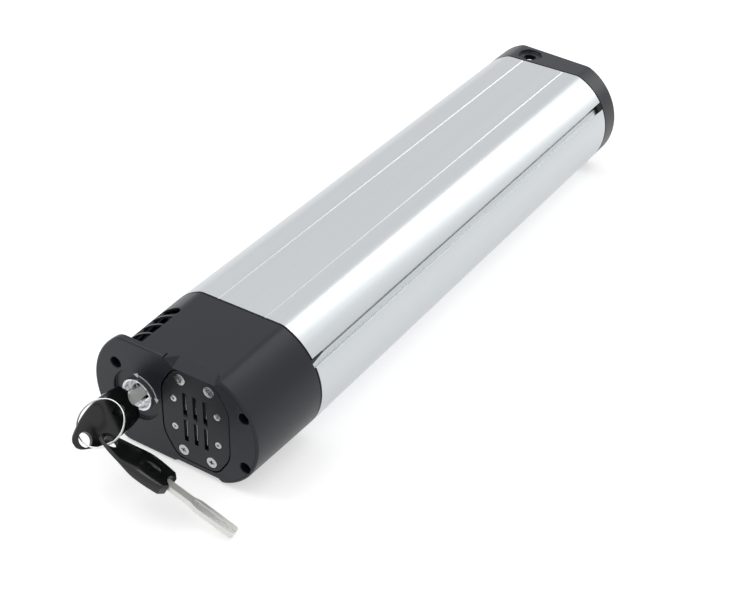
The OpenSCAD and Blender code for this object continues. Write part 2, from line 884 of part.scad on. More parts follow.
module lock_bolt() {
    bolt_w = bolt_left + bolt_right;
    back = bolt_y + bolt_t;
    slot_x = (pin_side + orbit_r) / 2;
    stem_h = bolt_arm_z + bolt_arm_t + pin_side;
    color(black) at_lock() difference() {
        union() {
            block(bolt_w, bolt_h, bolt_y, back, guide_x, -pin_side);
            block(2 * bolt_nose_r, stem_h, bolt_y, back, nose_x, -pin_side + stem_h / 2);
            block(2 * bolt_nose_r, bolt_arm_t, nose_y, back, nose_x, bolt_arm_z + bolt_arm_t / 2);
            translate([nose_x, nose_y, bolt_arm_z]) cylinder(r = bolt_nose_r, h = tip_z - bolt_arm_z);
        }
        block(orbit_r - pin_side + 2 * (pin_r + slot_gap), 2 * (pin_r + slot_gap), bolt_y - over,
            back + over, slot_x, -pin_side);
    }
}

module bolt_guide() {
    color(nickel) at_lock() difference() {
        block(guide_w, guide_h, lock_l, guide_y + guide_cover_t, guide_x);
        block(guide_w - 2 * rail_w, guide_h + 2 * over, lock_l - over, guide_y, guide_x);
        guide_places() rod(guide_shank_r + running, lock_l - over, guide_y + guide_cover_t + over);
        guide_places() translate([0, guide_y + guide_cover_t, 0]) rotate([0, 0, 180])
            countersunk(guide_head_r, guide_head_h, guide_shank_r, guide_cover_t, running);
    }
}

module guide_screws() {
    color(nickel) at_lock() guide_places() translate([0, guide_y + guide_cover_t, 0])
        rotate([0, 0, 180]) countersunk(guide_head_r, guide_head_h, guide_shank_r,
            guide_y + guide_cover_t - lock_l + flange_t / 2);
}

// Key shapes in their own frame: x is 0 at the lock's face and runs towards the head
module blade_shape(grow = 0) {
    in = head_s - blade_l;
    h = blade_w / 2 + grow;
    n = neck_w / 2 + grow;
    half = [[in, h - blade_cut], [in + blade_cut, h], [head_s - neck_l - flare_l, h],
        [head_s - neck_l, n], [head_s + blade_in_head, n]];
    translate([0, 0, -blade_t / 2 - grow]) linear_extrude(blade_t + 2 * grow)
        for (s = [0, 1]) mirror([0, s]) polygon(concat([[in, 0]], half, [[head_s + blade_in_head, 0]]));
}

module key_blade() {
    mill_l = blade_l - neck_l;
    color(chrome) difference() {
        blade_shape();
        for (s = [-1, 1]) translate([head_s - blade_l - over, s * mill_off - mill_w / 2,
            s * blade_t / 2 - mill_t]) cube([mill_l + over, mill_w, 2 * mill_t]);
    }
}

module key_head() {
    flank = flank_r - head_w / 2;
    mid_s = head_s + head_l * flank_share;
    taper_s = head_s + head_l * taper_share;
    eye_s = head_s + head_l * eye_share;
    end_s = head_s + head_l;
    color(black) difference() {
        intersection() {
            linear_extrude(head_t, center = true) difference() {
                intersection() {
                    translate([mid_s, flank]) circle(r = flank_r);
                    translate([mid_s, -flank]) circle(r = flank_r);
                    polygon([[head_s, -horn_w / 2], [head_s + horn_l, -head_w / 2], [end_s, -head_w / 2],
                        [end_s, head_w / 2], [head_s + horn_l, head_w / 2], [head_s, horn_w / 2]]);
                }
                translate([head_s - notch_back, 0]) circle(r = notch_r);
            }
            rotate([90, 0, 0]) linear_extrude(2 * head_w, center = true)
                polygon([[head_s - over, -head_t / 2], [taper_s, -head_t / 2], [eye_s, -head_tip_t / 2],
                    [end_s, -head_tip_t / 2], [end_s, head_tip_t / 2], [eye_s, head_tip_t / 2],
                    [taper_s, head_t / 2], [head_s - over, head_t / 2]]);
        }
        blade_shape(running);
        translate([hole_s, hole_w, -head_t]) cylinder(r = key_hole_r, h = 2 * head_t);
        // Oval dent in each face
        for (s = [-1, 1], e = [-1, 1]) translate([dent_s + e * (dent_l - dent_r) / 2, 0, s * head_t / 2])
            cylinder(r = dent_r, h = 2 * dent_t, center = true);
    }
}

module key_1_blade() { at_key_1() key_blade(); }
module key_1_head() { at_key_1() key_head(); }

// A point turned by rotate([a, b, c])
function turn_x(v, a) = [v.x, v.y * cos(a) - v.z * sin(a), v.y * sin(a) + v.z * cos(a)];
function turn_y(v, a) = [v.x * cos(a) + v.z * sin(a), v.y, -v.x * sin(a) + v.z * cos(a)];
function turn_z(v, a) = [v.x * cos(a) - v.y * sin(a), v.x * sin(a) + v.y * cos(a), v.z];
function turned(v, e) = turn_z(turn_y(turn_x(v, e[0]), e[1]), e[2]);

// Point on the ring that carries the second key, in the case's frame
ring_point = [ring_r + ring_r * cos(ring_place), ring_r * sin(ring_place), 0];
key_point = [hole_s, hole_w, 0] + ring_off + turned(ring_point, ring_angles);
lock_point = [-lock_x, -tube_l / 2 - shell_l, body_h / 2];
hang_point = lock_point + turn_y(turn_z(key_point, -90), key_turn);

// Lean at which the second key's tip comes down to the surface that the battery lies on
key_2_reach = hole_s + hang_off.x - head_s + blade_l;
tip_half_w = blade_w / 2 - blade_cut + abs(hang_off.y);
key_2_drop = tip_half_w * sin(abs(key_2_roll)) + blade_t / 2 * cos(key_2_roll);
key_2_pitch = -asin((hang_point.z - floor_gap - key_2_drop) / key_2_reach);

module at_key_2() {
    translate(hang_point) rotate([key_2_roll, key_2_pitch, key_2_yaw])
        translate([-hole_s, -hole_w, 0] - hang_off) children();
}

module split_ring() {
    color(chrome) at_key_1() translate([hole_s, hole_w, 0] + ring_off) rotate(ring_angles)
        translate([ring_r, 0, 0]) rotate_extrude() translate([ring_r, 0]) circle(r = wire_r);
}

module key_2_blade() { at_key_2() key_blade(); }
module key_2_head() { at_key_2() key_head(); }

// Copies at the cell places of a layer
module cell_places() {
    for (j = [0 : rows - 1], i = [1 : row_cells(j)])
        translate([(i - (row_cells(j) + 1) / 2) * cell_pitch, 0, row_place(j)]) children();
}

function layer_y(n) = cells_y + n * layer_pitch;

module cell_layer(n) {
    color(teal) at_seam() cell_places() rod(cell_r, layer_y(n), layer_y(n) + cell_l);
}

module cells_1() { cell_layer(0); }
module cells_2() { cell_layer(1); }
module cells_3() { cell_layer(2); }
module cells_4() { cell_layer(3); }

// Passages for the pack leads and the balance wires
module passages() {
    for (s = [-1, 1]) translate([valley_x, s * lead_z]) circle(r = lead_r + passage_gap);
    translate([-valley_x, lead_z]) circle(r = harness_r);
}

module holder_outline() {
    difference() {
        room();
        passages();
        for (j = [0 : rows - 1], i = [1 : row_cells(j)])
            translate([(i - (row_cells(j) + 1) / 2) * cell_pitch, row_place(j)]) circle(r = cell_r + snug);
    }
}

module cell_holders() {
    color(black) at_seam() for (n = [0 : layers - 1]) {
        slab(layer_y(n), layer_y(n) + holder_t) holder_outline();
        slab(layer_y(n) + cell_l - holder_t, layer_y(n) + cell_l) holder_outline();
    }
}

// Nickel over one end of a layer: its rows joined by a tie
module strip_outline() {
    for (j = [0 : rows - 1]) translate([0, row_place(j)])
        square([(row_cells(j) - 1) * cell_pitch + strip_w, strip_w], center = true);
    square([tie_w, 2 * last_row_z], center = true);
}

// Tab from a row of strips to a wire at x, up or down to z
module tab(x, w, s) {
    z0 = last_row_z;
    z1 = lead_z + lead_r;
    translate([x - w / 2, s > 0 ? z0 : -z1]) square([w, z1 - z0]);
}

module nickel_strips() {
    color(nickel) at_seam() for (n = [0 : layers - 1]) {
        y = layer_y(n);
        slab(y - strip_t, y) {
            strip_outline();
            if (n == 0) tab(valley_x, lead_tab_w, -1);
        }
        slab(y + cell_l, y + cell_l + strip_t) {
            strip_outline();
            if (n < layers - 1) tab(-valley_x + (n - 1) * wire_pitch, tab_w, 1);
            else tab(valley_x, lead_tab_w, 1);
        }
    }
}

module insulation_sheets() {
    color(white) at_seam() for (n = [1 : layers - 1])
        slab(layer_y(n) - strip_t - sheet_t, layer_y(n) - strip_t) difference() {
            room();
            passages();
        }
}

module bms_board() {
    color(green) at_seam() difference() {
        slab(board_y, board_y + board_t) intersection() {
            outline(board_inset);
            square([board_w, board_h], center = true);
        }
        four(post_x, post_z) rod(board_screw_r + passage_gap, board_y - over, board_y + board_t + over);
    }
}

// Places of the power chips, as two columns of three
module chip_places() {
    for (i = [-1, 1], j = [-1, 0, 1])
        translate([-chip_x + i * chip_pitch_x / 2, 0, j * chip_pitch_z]) children();
}

module bms_parts() {
    color(black) at_seam() {
        chip_places() block(chip_w, chip_h, board_y - chip_t, board_y);
        for (s = [-1, 1]) rod(cap_r, board_y - can_l, board_y, can_x, s * can_z);
    }
}

module heatsink() {
    back = board_y - chip_t;
    color(silver) at_seam() {
        block(sink_w, sink_h, back - sink_t, back, -chip_x);
        for (i = [0 : fins - 1])
            block(fin_t, sink_h, back - sink_t - fin_l, back - sink_t / 2,
                -chip_x + (i / (fins - 1) - 1 / 2) * (sink_w - fin_t));
    }
}

module bms_tray() {
    color(white) at_seam() difference() {
        union() {
            slab(tray_y, tray_y + tray_t) room();
            four(post_x, post_z) rod(standoff_r, board_y + board_t, tray_y + tray_t / 2);
        }
        four(post_x, post_z) rod(board_screw_r + running, board_y, board_y + board_screw_l + snug);
        slab(tray_y - over, tray_y + tray_t + over) passages();
    }
}

module bms_screws() {
    color(nickel) at_seam() four(post_x, post_z) {
        rod(board_screw_head_r, board_y - board_screw_head_h, board_y);
        rod(board_screw_r, board_y - board_screw_head_h / 2, board_y + board_screw_l);
    }
}

module fuse() { color(brass) at_seam() block(fuse_w, fuse_h, board_y - fuse_l, board_y, fuse_x); }

module pack_positive_lead() {
    color(red) at_seam() rod(lead_r, board_y + board_t, cells_end - strip_t, valley_x, lead_z);
}

module pack_negative_lead() {
    color(black) at_seam() rod(lead_r, board_y + board_t, cells_y - strip_t, valley_x, -lead_z);
}

module balance_wires() {
    color(white) at_seam() for (n = [0 : layers - 2])
        rod(balance_r, board_y + board_t, layer_y(n) + cell_l, -valley_x + (n - 1) * wire_pitch, lead_z);
}

module front_foam() {
    color(charcoal) at_seam() slab(tray_y + tray_t, cells_y - strip_t) difference() {
        room();
        passages();
    }
}

module rear_foam() { color(charcoal) at_seam() slab(cells_end, tube_l) room(); }

tube();
front_shell();
front_plate();
front_seal();
front_screws();
rear_cap();
rear_seal();
rear_screws();
connector_body();
contact_carrier();
contacts();
connector_screws();
carrier_screws();
positive_leads();
negative_leads();
signal_leads();
lock_body();
lock_screws();
lock_plug();
lock_driver();
driver_screws();
lock_bolt();
bolt_guide();
guide_screws();
key_1_blade();
key_1_head();
split_ring();
key_2_blade();
key_2_head();
cells_1();
cells_2();
cells_3();
cells_4();
cell_holders();
nickel_strips();
insulation_sheets();
bms_board();
bms_parts();
heatsink();
bms_tray();
bms_screws();
fuse();
pack_positive_lead();
pack_negative_lead();
balance_wires();
front_foam();
rear_foam();
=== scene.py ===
import math

import bmesh
import bpy
from mathutils import Euler, Matrix, Vector


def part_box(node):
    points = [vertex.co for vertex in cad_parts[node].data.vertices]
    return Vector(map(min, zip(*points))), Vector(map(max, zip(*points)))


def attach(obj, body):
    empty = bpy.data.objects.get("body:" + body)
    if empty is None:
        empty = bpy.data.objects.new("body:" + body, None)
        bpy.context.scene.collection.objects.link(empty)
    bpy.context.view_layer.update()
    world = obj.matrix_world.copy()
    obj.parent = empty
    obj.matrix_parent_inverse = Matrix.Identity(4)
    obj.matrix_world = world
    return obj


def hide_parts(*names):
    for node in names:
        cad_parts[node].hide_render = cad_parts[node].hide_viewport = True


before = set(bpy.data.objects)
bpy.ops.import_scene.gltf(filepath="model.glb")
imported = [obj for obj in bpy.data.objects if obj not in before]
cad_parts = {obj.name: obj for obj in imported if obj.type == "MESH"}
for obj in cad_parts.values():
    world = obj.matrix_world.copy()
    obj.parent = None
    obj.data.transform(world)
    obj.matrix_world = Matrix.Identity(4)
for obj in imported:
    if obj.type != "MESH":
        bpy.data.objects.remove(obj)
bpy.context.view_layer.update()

# Pieces are modelled in millimetres in the part's frame, and become metres when they are finished.
# Depth runs from the front face to the rear, as Y does.
MM = 0.001


def extent(node, axis):
    """Lowest and highest place of a node of the frame along an axis, in millimetres."""
    low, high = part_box(node)
    return low[axis] / MM, high[axis] / MM


# Places and sizes that the frame gives
SEAM, REAR = extent("tube", 1)
FACE = extent("front_plate", 1)[0]
BODY_W = 2 * extent("tube", 0)[1]
BODY_H = extent("tube", 2)[1]
MIDDLE = BODY_H / 2
SHELL_END = extent("front_seal", 1)[0]
CAP_START = extent("rear_seal", 1)[1]
SHELL_L = SEAM - FACE

# Case: round sides, with a corner where they meet the flats
SIDE_R = 33
SIDE_C = BODY_W / 2 - SIDE_R
CORNER_R = 9
TUBE_WALL = 2
# Channel on each upper flank, with a slit along its upper edge and a thicker wall behind it
CHAN_ANG = math.radians(29.5)
CHAN_W = 4.4
CHAN_D = 1.8
SLIT_D = 3.4
SLIT_W = 1.6
BACK_D = 5.5
BACK_W = 8
# Fine grooves along the top flat, and the small bevel at the edges of the channel and the shell
GROOVE_X = 13.4
GROOVE_W = 0.8
NICK = 0.25
# Screw ports, two in each round side
PORT_ANG = math.radians(30.4)
PORT_INSET = 5
PORT_R = 3.4
PORT_HOLE_R = 1.4
PORT_X = SIDE_C + (SIDE_R - PORT_INSET) * math.cos(PORT_ANG)
PORT_Z = (SIDE_R - PORT_INSET) * math.sin(PORT_ANG)
PORTS = [(x, z) for x in (-PORT_X, PORT_X) for z in (-PORT_Z, PORT_Z)]
# Overrun of a cutter past what it cuts, the usual chamfer, and the play of what fits
OVER = 1
CHAMFER = 0.3
SNUG = 0.1

# Front shell and front plate
DRAFT = 1.2
SHELL_WALL = 2.4
# Round front edge of the shell: depth and inset as shares of its radius
EDGE_R = 0.9
EDGE_SHARES = [(0, 1), (0.12, 0.5), (0.45, 0.14), (1, 0)]
# Rim of the shell that holds the plate on the right, and the plate with its lobe on the left
RIM_T = 1.3
RIM_X = 7
PLATE_T = 3
PLATE_GAP = 0.15
PLATE_EDGE = 1.2
LOBE_R = 35.5
LOBE_X = 14.3
LOBE_INSET = 1
LOBE_CORNER = 8
# Screw posts, with the deep holes in which the heads sit, and tongues that enter the channels
POST_R = 3.9
BULKHEAD_T = 2
DEEP_R = 2.9
SEAT_D = 12.2
SHANK_HOLE_R = 1.7
TONGUE_W, TONGUE_L = 1.8, 8.5
TONGUE_TIP_W, TONGUE_TIP_T = 0.9, 1
# Windows in the top left flank, counted from the front, with a thin wall round them
WINDOW_Y = 3.4
WINDOW_L = 6.5
WINDOW_PITCH = 7.7
WINDOWS = 4
WINDOW_X = 22.1
WINDOW_Z = 23.4
WINDOW_WALL = 1
LIP_W, LIP_L, LIP_GAP = 33, 4, 0.3
LEAD_MARGIN = 3
# Ramps from the connector's edge to the top flat and to the lower flat
RAMP_D = 5.3
LOW_RAMP_D = 3
RAMP_L = 6
RAMP_FOOT = 11.5
RAMP_MOUTH = 17
RAMP_BACK = 10.5

# Connector
CONN_X = 9
CONN_W = 37.5
CONN_H = 50.6
CONN_T = 7.2
CONN_CUT_X = 7.5
CONN_CUT_Z = 12
CONN_CORNER_R = 4
CONN_EDGE = 0.5
CONN_GAP = 0.5
CARRIER_W, CARRIER_H = 29, 29.2
SLOT_PITCH = 5.7
SLOT_W = 2.2
SLOT_H = 12.4
SLOT_Z = 7.7
BUMP_W = 2.6
BUMP_H = 1.3
BUMP_T = 0.7
BUMP_Z = 0.7
TRAY_WALL = 1.6
TRAY_FLOOR = 2
LARGE_X, LARGE_Z = 8, 20.4
SMALL_X, SMALL_Z = 12.25, 8.1
LARGE_HEAD_R, LARGE_HEAD_H, LARGE_SHANK_R, LARGE_L = 2.9, 1.7, 1.4, 15.1
SMALL_HEAD_R, SMALL_HEAD_H, SMALL_SHANK_R, SMALL_L = 1.8, 1.1, 0.9, 14
LARGE_BOSS_R, LARGE_BOSS_L = 3.4, 6
SEAT_GAP = 0.25
SEAT_SINK = 0.2
LEAF_T, LEAF_GAP, LEAF_H, LEAF_Y = 0.4, 1.1, 10, 1.6
CONTACT_END = 21.2
CONTACT_BASE_T = 1
LEAF_EDGE = 0.15
CRIMP_R, CRIMP_L = 1.4, 7

# Lock
LOCK_X = 25.1
LOCK_L = 33.2
NOSE_R = 8.5
NOSE_LIP = 0.35
NOSE_FACE_Y = 0.5
THROAT_R = 7.4
PLUG_Y = 4.3
PLUG_R = 6.5
PLUG_END = 33.4
PLUG_EDGE = 0.35
PLUG_PLAY = 0.05
KEYWAY_GAP, KEYWAY_END = 0.2, 0.6
BARREL_R = 11
BARREL_EDGE = 0.4
DISH_R = 13.4
DISH_D = 1.6
EAR_Z, EAR_R, EAR_T, EAR_HOLE_R = 17, 3.5, 3, 1.25
FLANGE_T = 3
GUIDE_W, GUIDE_X, GUIDE_H = 25.8, 0.9, 19
# Mark of the key's turn: a double arrow between two angles, counted from three o'clock
MARK_R, MARK_W, MARK_T = 10.6, 0.5, 0.06
MARK_START, MARK_END = math.radians(8), math.radians(88)
ARROW_W, ARROW_L, DOT_R = 2.7, 2.6, 0.55

# Keys
KEY_TURN = math.radians(50)
BLADE_L, BLADE_W, BLADE_T = 35, 8, 2.4
NECK_W, NECK_L, FLARE_L = 5.2, 11, 4
BLADE_IN_HEAD = 12
BLADE_CUT = 1
BLADE_EDGE = 0.25
# Milled band on each face, and the track that sways in it from step to step
BAND_W, BAND_T = 3.2, 0.3
TRACK_W, TRACK_T, TRACK_STEPS = 0.8, 0.75, 9
TRACK_SWAY, TRACK_PHASE, TRACK_L_SHARE = 0.7, 2.3, 0.75
# Head: horns at the neck, curved flanks, a hole for the ring and a dent on each face
HEAD_S, HEAD_L, HEAD_W, HEAD_T, HEAD_TIP_T = 4, 38.2, 20, 6, 2.2
FLANK_R = 46
FLANK_SHARE, TAPER_SHARE, EYE_SHARE = 0.34, 0.37, 0.68
HORN_W, HORN_L = 10, 3
NOTCH_R, NOTCH_BACK = 4.6, 1.5
HOLE_BACK, HOLE_W, HOLE_R = 5.7, 1, 3.5
HOLE_S = HEAD_S + HEAD_L - HOLE_BACK
DENT_S, DENT_L, DENT_W, DENT_T = HEAD_S + 11, 8, 4.6, 1.1
# Round ends of the head, the powers that square its section, and the places of its sections
EYE_ROUND, EYE_LEAST, EYE_W_SHARE = 2.5, 0.02, 0.35
FRONT_ROUND, FRONT_START, FRONT_T_SHARE = 1.2, 0.35, 0.8
SQUARE_W, SQUARE_T, HEAD_POINTS = 0.62, 0.5, 56
FRONT_STOPS = (0, 0.25, 0.6, 1.1, 1.7, 2.2, 2.6)
EYE_STOPS = (2, 1.5, 1, 0.6, 0.3, 0.1, 0)
MIDDLE_START, MIDDLE_STEPS = 3.2, 30
# Split ring, how it lies in key 1's hole, and how key 2 hangs on it
RING_R, WIRE_R = 11.3, 0.65
RING_TURN = Euler([math.radians(a) for a in (-46.3, -31.8, -161.8)]).to_matrix()
RING_PLACE = math.radians(252.5)
RING_AT = Vector((HOLE_S + 1.1, HOLE_W + 0.6, 0))
KEY_2_ROLL, KEY_2_YAW = math.radians(19), math.radians(-172)
HANG_OFF = Vector((-0.4, -0.6, 0))
FLOOR_GAP = 0.4
# The ring's wire: where it starts, where it steps over itself, and how much of its space it fills
WIRE_TURNS, WIRE_STEPS = 2, 80
WIRE_START, WIRE_SHARE = 0.6, 0.97
STEP_START, STEP_SHARE = 0.9, 0.2

# Rear cap
CAP_L = 18.4
CAP_SLANT = math.radians(5.2)
CAP_WALL = 2.6
CAP_EDGE = 1
REAR_HOLE_X, REAR_HOLE_Y, REAR_HOLE_R = 13.7, 9.5, 3.7
REAR_DISH_R, REAR_DISH_D, REAR_DISH_EDGE, REAR_PLATE_T = 7.2, 1.6, 0.4, 3.4
POCKET_W, POCKET_H, POCKET_Y, POCKET_WALL = 22, 14, 3.5, 2
POCKET_CORNER_R = 1.2
REAR_POST_R, REAR_SEAT_Y = 4.2, 5

# Socket screws of the case
SCREW_R, SCREW_HEAD_R, SCREW_HEAD_H = 1.3, 2.6, 2.2
LONG_SCREW_L, REAR_SCREW_L = 46, 16
SOCKET_R, SOCKET_D = 1.25, 1.4

# Cross screws: crown and rim of the head, and the cross as shares of the head's radius
CROWN_Y, CROWN_FALL, CROWN_SHARE = 0.05, 0.01, 0.6
HEAD_RIM_W, HEAD_RIM_Y = 0.12, 0.25
CROSS_REACH_SHARE, CROSS_W_SHARE, CROSS_D_SHARE, CROSS_TAPER_SHARE = 0.62, 0.28, 0.5, 0.45
SCREW_STEPS = 40

# Places of the ends, as matrices for pieces that are modelled round them
AT_FACE = Matrix.Translation((0, FACE, MIDDLE))
AT_CONN = Matrix.Translation((CONN_X, FACE, MIDDLE))
AT_LOCK = Matrix.Translation((-LOCK_X, FACE, MIDDLE))
AT_REAR = Matrix.Translation((0, REAR, MIDDLE))
AT_KEY_1 = AT_LOCK @ Matrix.Rotation(KEY_TURN, 4, "Y") @ Matrix.Rotation(math.radians(-90), 4, "Z")


# Shapes

def move(bm, way):
    """Moves a shape."""
    bmesh.ops.translate(bm, verts=bm.verts, vec=way)


def rotate(bm, angle, axis):
    """Turns a shape round an axis through the origin."""
    bmesh.ops.rotate(bm, verts=bm.verts, cent=(0, 0, 0), matrix=Matrix.Rotation(angle, 3, axis))


def arc(x, z, r, start, end, steps):
    """Points of an arc round (x, z), from one angle to another."""
    turns = [start + (end - start) * i / steps for i in range(steps + 1)]
    return [(x + r * math.cos(a), z + r * math.sin(a)) for a in turns]


def case_side(inset=0.0):
    """Right side of the case's outline from the bottom flat to the top flat."""
    r = SIDE_R - inset
    rise = BODY_H / 2 - inset - CORNER_R
    run = math.sqrt((r - CORNER_R) ** 2 - rise ** 2)
    tilt = math.atan2(rise, run)
    side = arc(SIDE_C, 0, r, -tilt, tilt, 44)
    corner = arc(SIDE_C + run, rise, CORNER_R, tilt, math.pi / 2, 8)[1:]
    return [(x, -z) for x, z in reversed(corner)] + side + corner


def both_sides(right):
    """Closed outline from the points of its right side, mirrored to the left."""
    return right + [(-x, z) for x, z in reversed(right)]


def case_points(inset=0.0):
    """Closed outline of the case, at an inset."""
    return both_sides(case_side(inset))


def prism(points, y0, y1):
    """Solid from an outline of (x, z) points between two depths."""
    bm = bmesh.new()
    face = bm.faces.new([bm.verts.new((x, y0, z)) for x, z in points])
    made = bmesh.ops.extrude_face_region(bm, geom=[face])["geom"]
    far = [v for v in made if isinstance(v, bmesh.types.BMVert)]
    bmesh.ops.translate(bm, verts=far, vec=(0, y1 - y0, 0))
    bmesh.ops.recalc_face_normals(bm, faces=bm.faces)
    return bm


def loft(rings):
    """Solid through closed rings of 3D points, each with as many points as the next."""
    bm = bmesh.new()
    loops = []
    for ring in rings:
        verts = [bm.verts.new(p) for p in ring]
        loops.append([bm.edges.new((verts[i - 1], verts[i])) for i in range(len(verts))])
    for near, far in zip(loops, loops[1:]):
        bmesh.ops.bridge_loops(bm, edges=near + far)
    for loop in (loops[0], loops[-1]):
        bmesh.ops.edgeloop_fill(bm, edges=loop)
    bmesh.ops.recalc_face_normals(bm, faces=bm.faces)
    return bm


def lathe(points, steps=64, x=0.0, z=0.0):
    """Solid turned round an axis along Y, from a profile of (radius, depth) points."""
    bm = bmesh.new()
    verts = [bm.verts.new((r, y, 0)) for r, y in points]
    edges = [bm.edges.new(pair) for pair in zip(verts, verts[1:])]
    bmesh.ops.spin(bm, geom=verts + edges, cent=(0, 0, 0), axis=(0, 1, 0), dvec=(0, 0, 0),
        angle=2 * math.pi, steps=steps, use_merge=True)
    bmesh.ops.remove_doubles(bm, verts=bm.verts, dist=0.001)
    bmesh.ops.recalc_face_normals(bm, faces=bm.faces)
    move(bm, (x, 0, z))
    return bm


def rod(bm, r, y0, y1, x=0.0, z=0.0, steps=48):
    """Adds a round bar along Y."""
    place = Matrix.Translation((x, (y0 + y1) / 2, z)) @ Matrix.Rotation(math.radians(-90), 4, "X")
    bmesh.ops.create_cone(bm, cap_ends=True, segments=steps, radius1=r, radius2=r, depth=y1 - y0,
        matrix=place)


def block(bm, w, h, y0, y1, x=0.0, z=0.0):
    """Adds a block between two depths, centred on x and z."""
    size = Matrix.Diagonal((w, y1 - y0, h, 1))
    place = Matrix.Translation((x, (y0 + y1) / 2, z))
    return bmesh.ops.create_cube(bm, size=1, matrix=place @ size)["verts"]


def one_rod(*sizes, **rest):
    """Round bar of its own, with the sizes that rod takes."""
    bm = bmesh.new()
    rod(bm, *sizes, **rest)
    return bm


def one_block(*sizes):
    """Block of its own, with the sizes that block takes."""
    bm = bmesh.new()
    block(bm, *sizes)
    return bm


def centred_block(centre, size):
    """Block of its own with three sizes, round a centre."""
    bm = bmesh.new()
    bmesh.ops.create_cube(bm, size=1, matrix=Matrix.Translation(centre) @ Matrix.Diagonal((*size, 1)))
    return bm


def ellipsoid(centre, radii, around, along):
    """Solid with three radii round a centre."""
    bm = bmesh.new()
    bmesh.ops.create_uvsphere(bm, u_segments=around, v_segments=along, radius=1,
        matrix=Matrix.Translation(centre) @ Matrix.Diagonal((*radii, 1)))
    return bm


def new_mesh(bm, name="shape"):
    """Mesh of a shape, which is used up."""
    mesh = bpy.data.meshes.new(name)
    bm.to_mesh(mesh)
    bm.free()
    return mesh


def join(bm, other, operation="UNION"):
    """Joins another solid to this one, or cuts it out, with an exact Boolean."""
    pair = [bpy.data.objects.new("shape", new_mesh(b)) for b in (bm.copy(), other)]
    for obj in pair:
        bpy.context.scene.collection.objects.link(obj)
    boolean = pair[0].modifiers.new("join", "BOOLEAN")
    boolean.object = pair[1]
    boolean.operation = operation
    boolean.solver = "EXACT"
    boolean.use_self = True
    graph = bpy.context.evaluated_depsgraph_get()
    made = bpy.data.meshes.new_from_object(pair[0].evaluated_get(graph))
    bm.clear()
    bm.from_mesh(made)
    for obj in pair:
        bpy.data.meshes.remove(obj.data)
    bpy.data.meshes.remove(made)


def cut(bm, other):
    """Cuts another solid out of this one."""
    join(bm, other, "DIFFERENCE")


def merged(*shapes):
    """One bmesh with all the shapes in it, not joined."""
    out = bmesh.new()
    for shape in shapes:
        mesh = new_mesh(shape)
        out.from_mesh(mesh)
        bpy.data.meshes.remove(mesh)
    return out


def copies(shape, places):
    """One bmesh with a copy of the shape at each place."""
    out = bmesh.new()
    mesh = new_mesh(shape)
    for place in places:
        first = len(out.verts)
        out.from_mesh(mesh)
        out.verts.ensure_lookup_table()
        bmesh.ops.transform(out, matrix=place, verts=out.verts[first:])
    bpy.data.meshes.remove(mesh)
    return out


def soften(bm, width, segments, wanted):
    """Rounds the edges that the test picks."""
    edges = [e for e in bm.edges if len(e.link_faces) == 2 and wanted(e)]
    bmesh.ops.bevel(bm, geom=edges, offset=width, offset_type="OFFSET", segments=segments,
        profile=0.5, affect="EDGES", clamp_overlap=True, material=-1)


def is_sharp(edge, angle=40):
    """Whether the faces beside an edge meet at more than an angle in degrees."""
    return edge.calc_face_angle(0) > math.radians(angle)


def at_depth(edge, y):
    """Whether an edge lies at a depth."""
    return all(abs(v.co.y - y) < 0.01 for v in edge.verts)


def hole(r, y0, y1, x, z, flare=0.35):
    """Cutter for a round hole from the face at y0, with a small chamfer at its mouth."""
    profile = [(0, y0 - OVER), (r + flare + OVER, y0 - OVER), (r, y0 + flare), (r, y1), (0, y1)]
    return lathe(profile, x=x, z=z)


def piece(name, bm, material, nodes, place=None, body=None, angle=30):
    """Finishes a shape as a piece of the object, which stands for nodes of the frame."""
    if place:
        bmesh.ops.transform(bm, matrix=place, verts=bm.verts)
    bmesh.ops.scale(bm, vec=(MM, MM, MM), verts=bm.verts)
    mesh = new_mesh(bm, name)
    mesh.materials.append(material)
    mesh.shade_smooth()
    mesh.set_sharp_from_angle(angle=math.radians(angle))
    obj = bpy.data.objects.new(name, mesh)
    bpy.context.scene.collection.objects.link(obj)
    normals = obj.modifiers.new("normals", "WEIGHTED_NORMAL")
    normals.keep_sharp = True
    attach(obj, body or "pack")
    if nodes:
        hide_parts(*nodes)
    return obj


# Materials

def colour(code):
    """Linear colour of an sRGB hex value."""
    parts = [int(code[i:i + 2], 16) / 255 for i in (1, 3, 5)]
    return [c / 12.92 if c <= 0.04045 else ((c + 0.055) / 1.055) ** 2.4 for c in parts] + [1]


def add(tree, kind, settings, links=None):
    """Adds a node, with its settings by socket or property name and its links by socket name."""
    made = tree.nodes.new(kind)
    for name, value in settings.items():
        if isinstance(name, int) or name in made.inputs:
            made.inputs[name].default_value = value
        else:
            setattr(made, name, value)
    for name, output in (links or {}).items():
        tree.links.new(output, made.inputs[name])
    return made


def start_material(name, settings):
    """Material with one surface shader, and the object's own coordinates for its patterns."""
    material = bpy.data.materials.new(name)
    material["slot"] = name
    material.use_nodes = True
    tree = material.node_tree
    shader = tree.nodes["Principled BSDF"]
    for socket, value in settings.items():
        shader.inputs[socket].default_value = value
    place = add(tree, "ShaderNodeTexCoord", {}).outputs["Object"]
    return material, tree, shader, place


def tint(tree, shader, factor, low, high):
    """Colours the surface between two sRGB values by a pattern."""
    mix = add(tree, "ShaderNodeMix", {"data_type": "RGBA", 6: colour(low), 7: colour(high)}, {0: factor})
    tree.links.new(mix.outputs[2], shader.inputs["Base Color"])


def vary_roughness(tree, shader, factor, low, high):
    """Varies the gloss between two values by a pattern."""
    spread = add(tree, "ShaderNodeMapRange", {"To Min": low, "To Max": high}, {"Value": factor})
    tree.links.new(spread.outputs["Result"], shader.inputs["Roughness"])


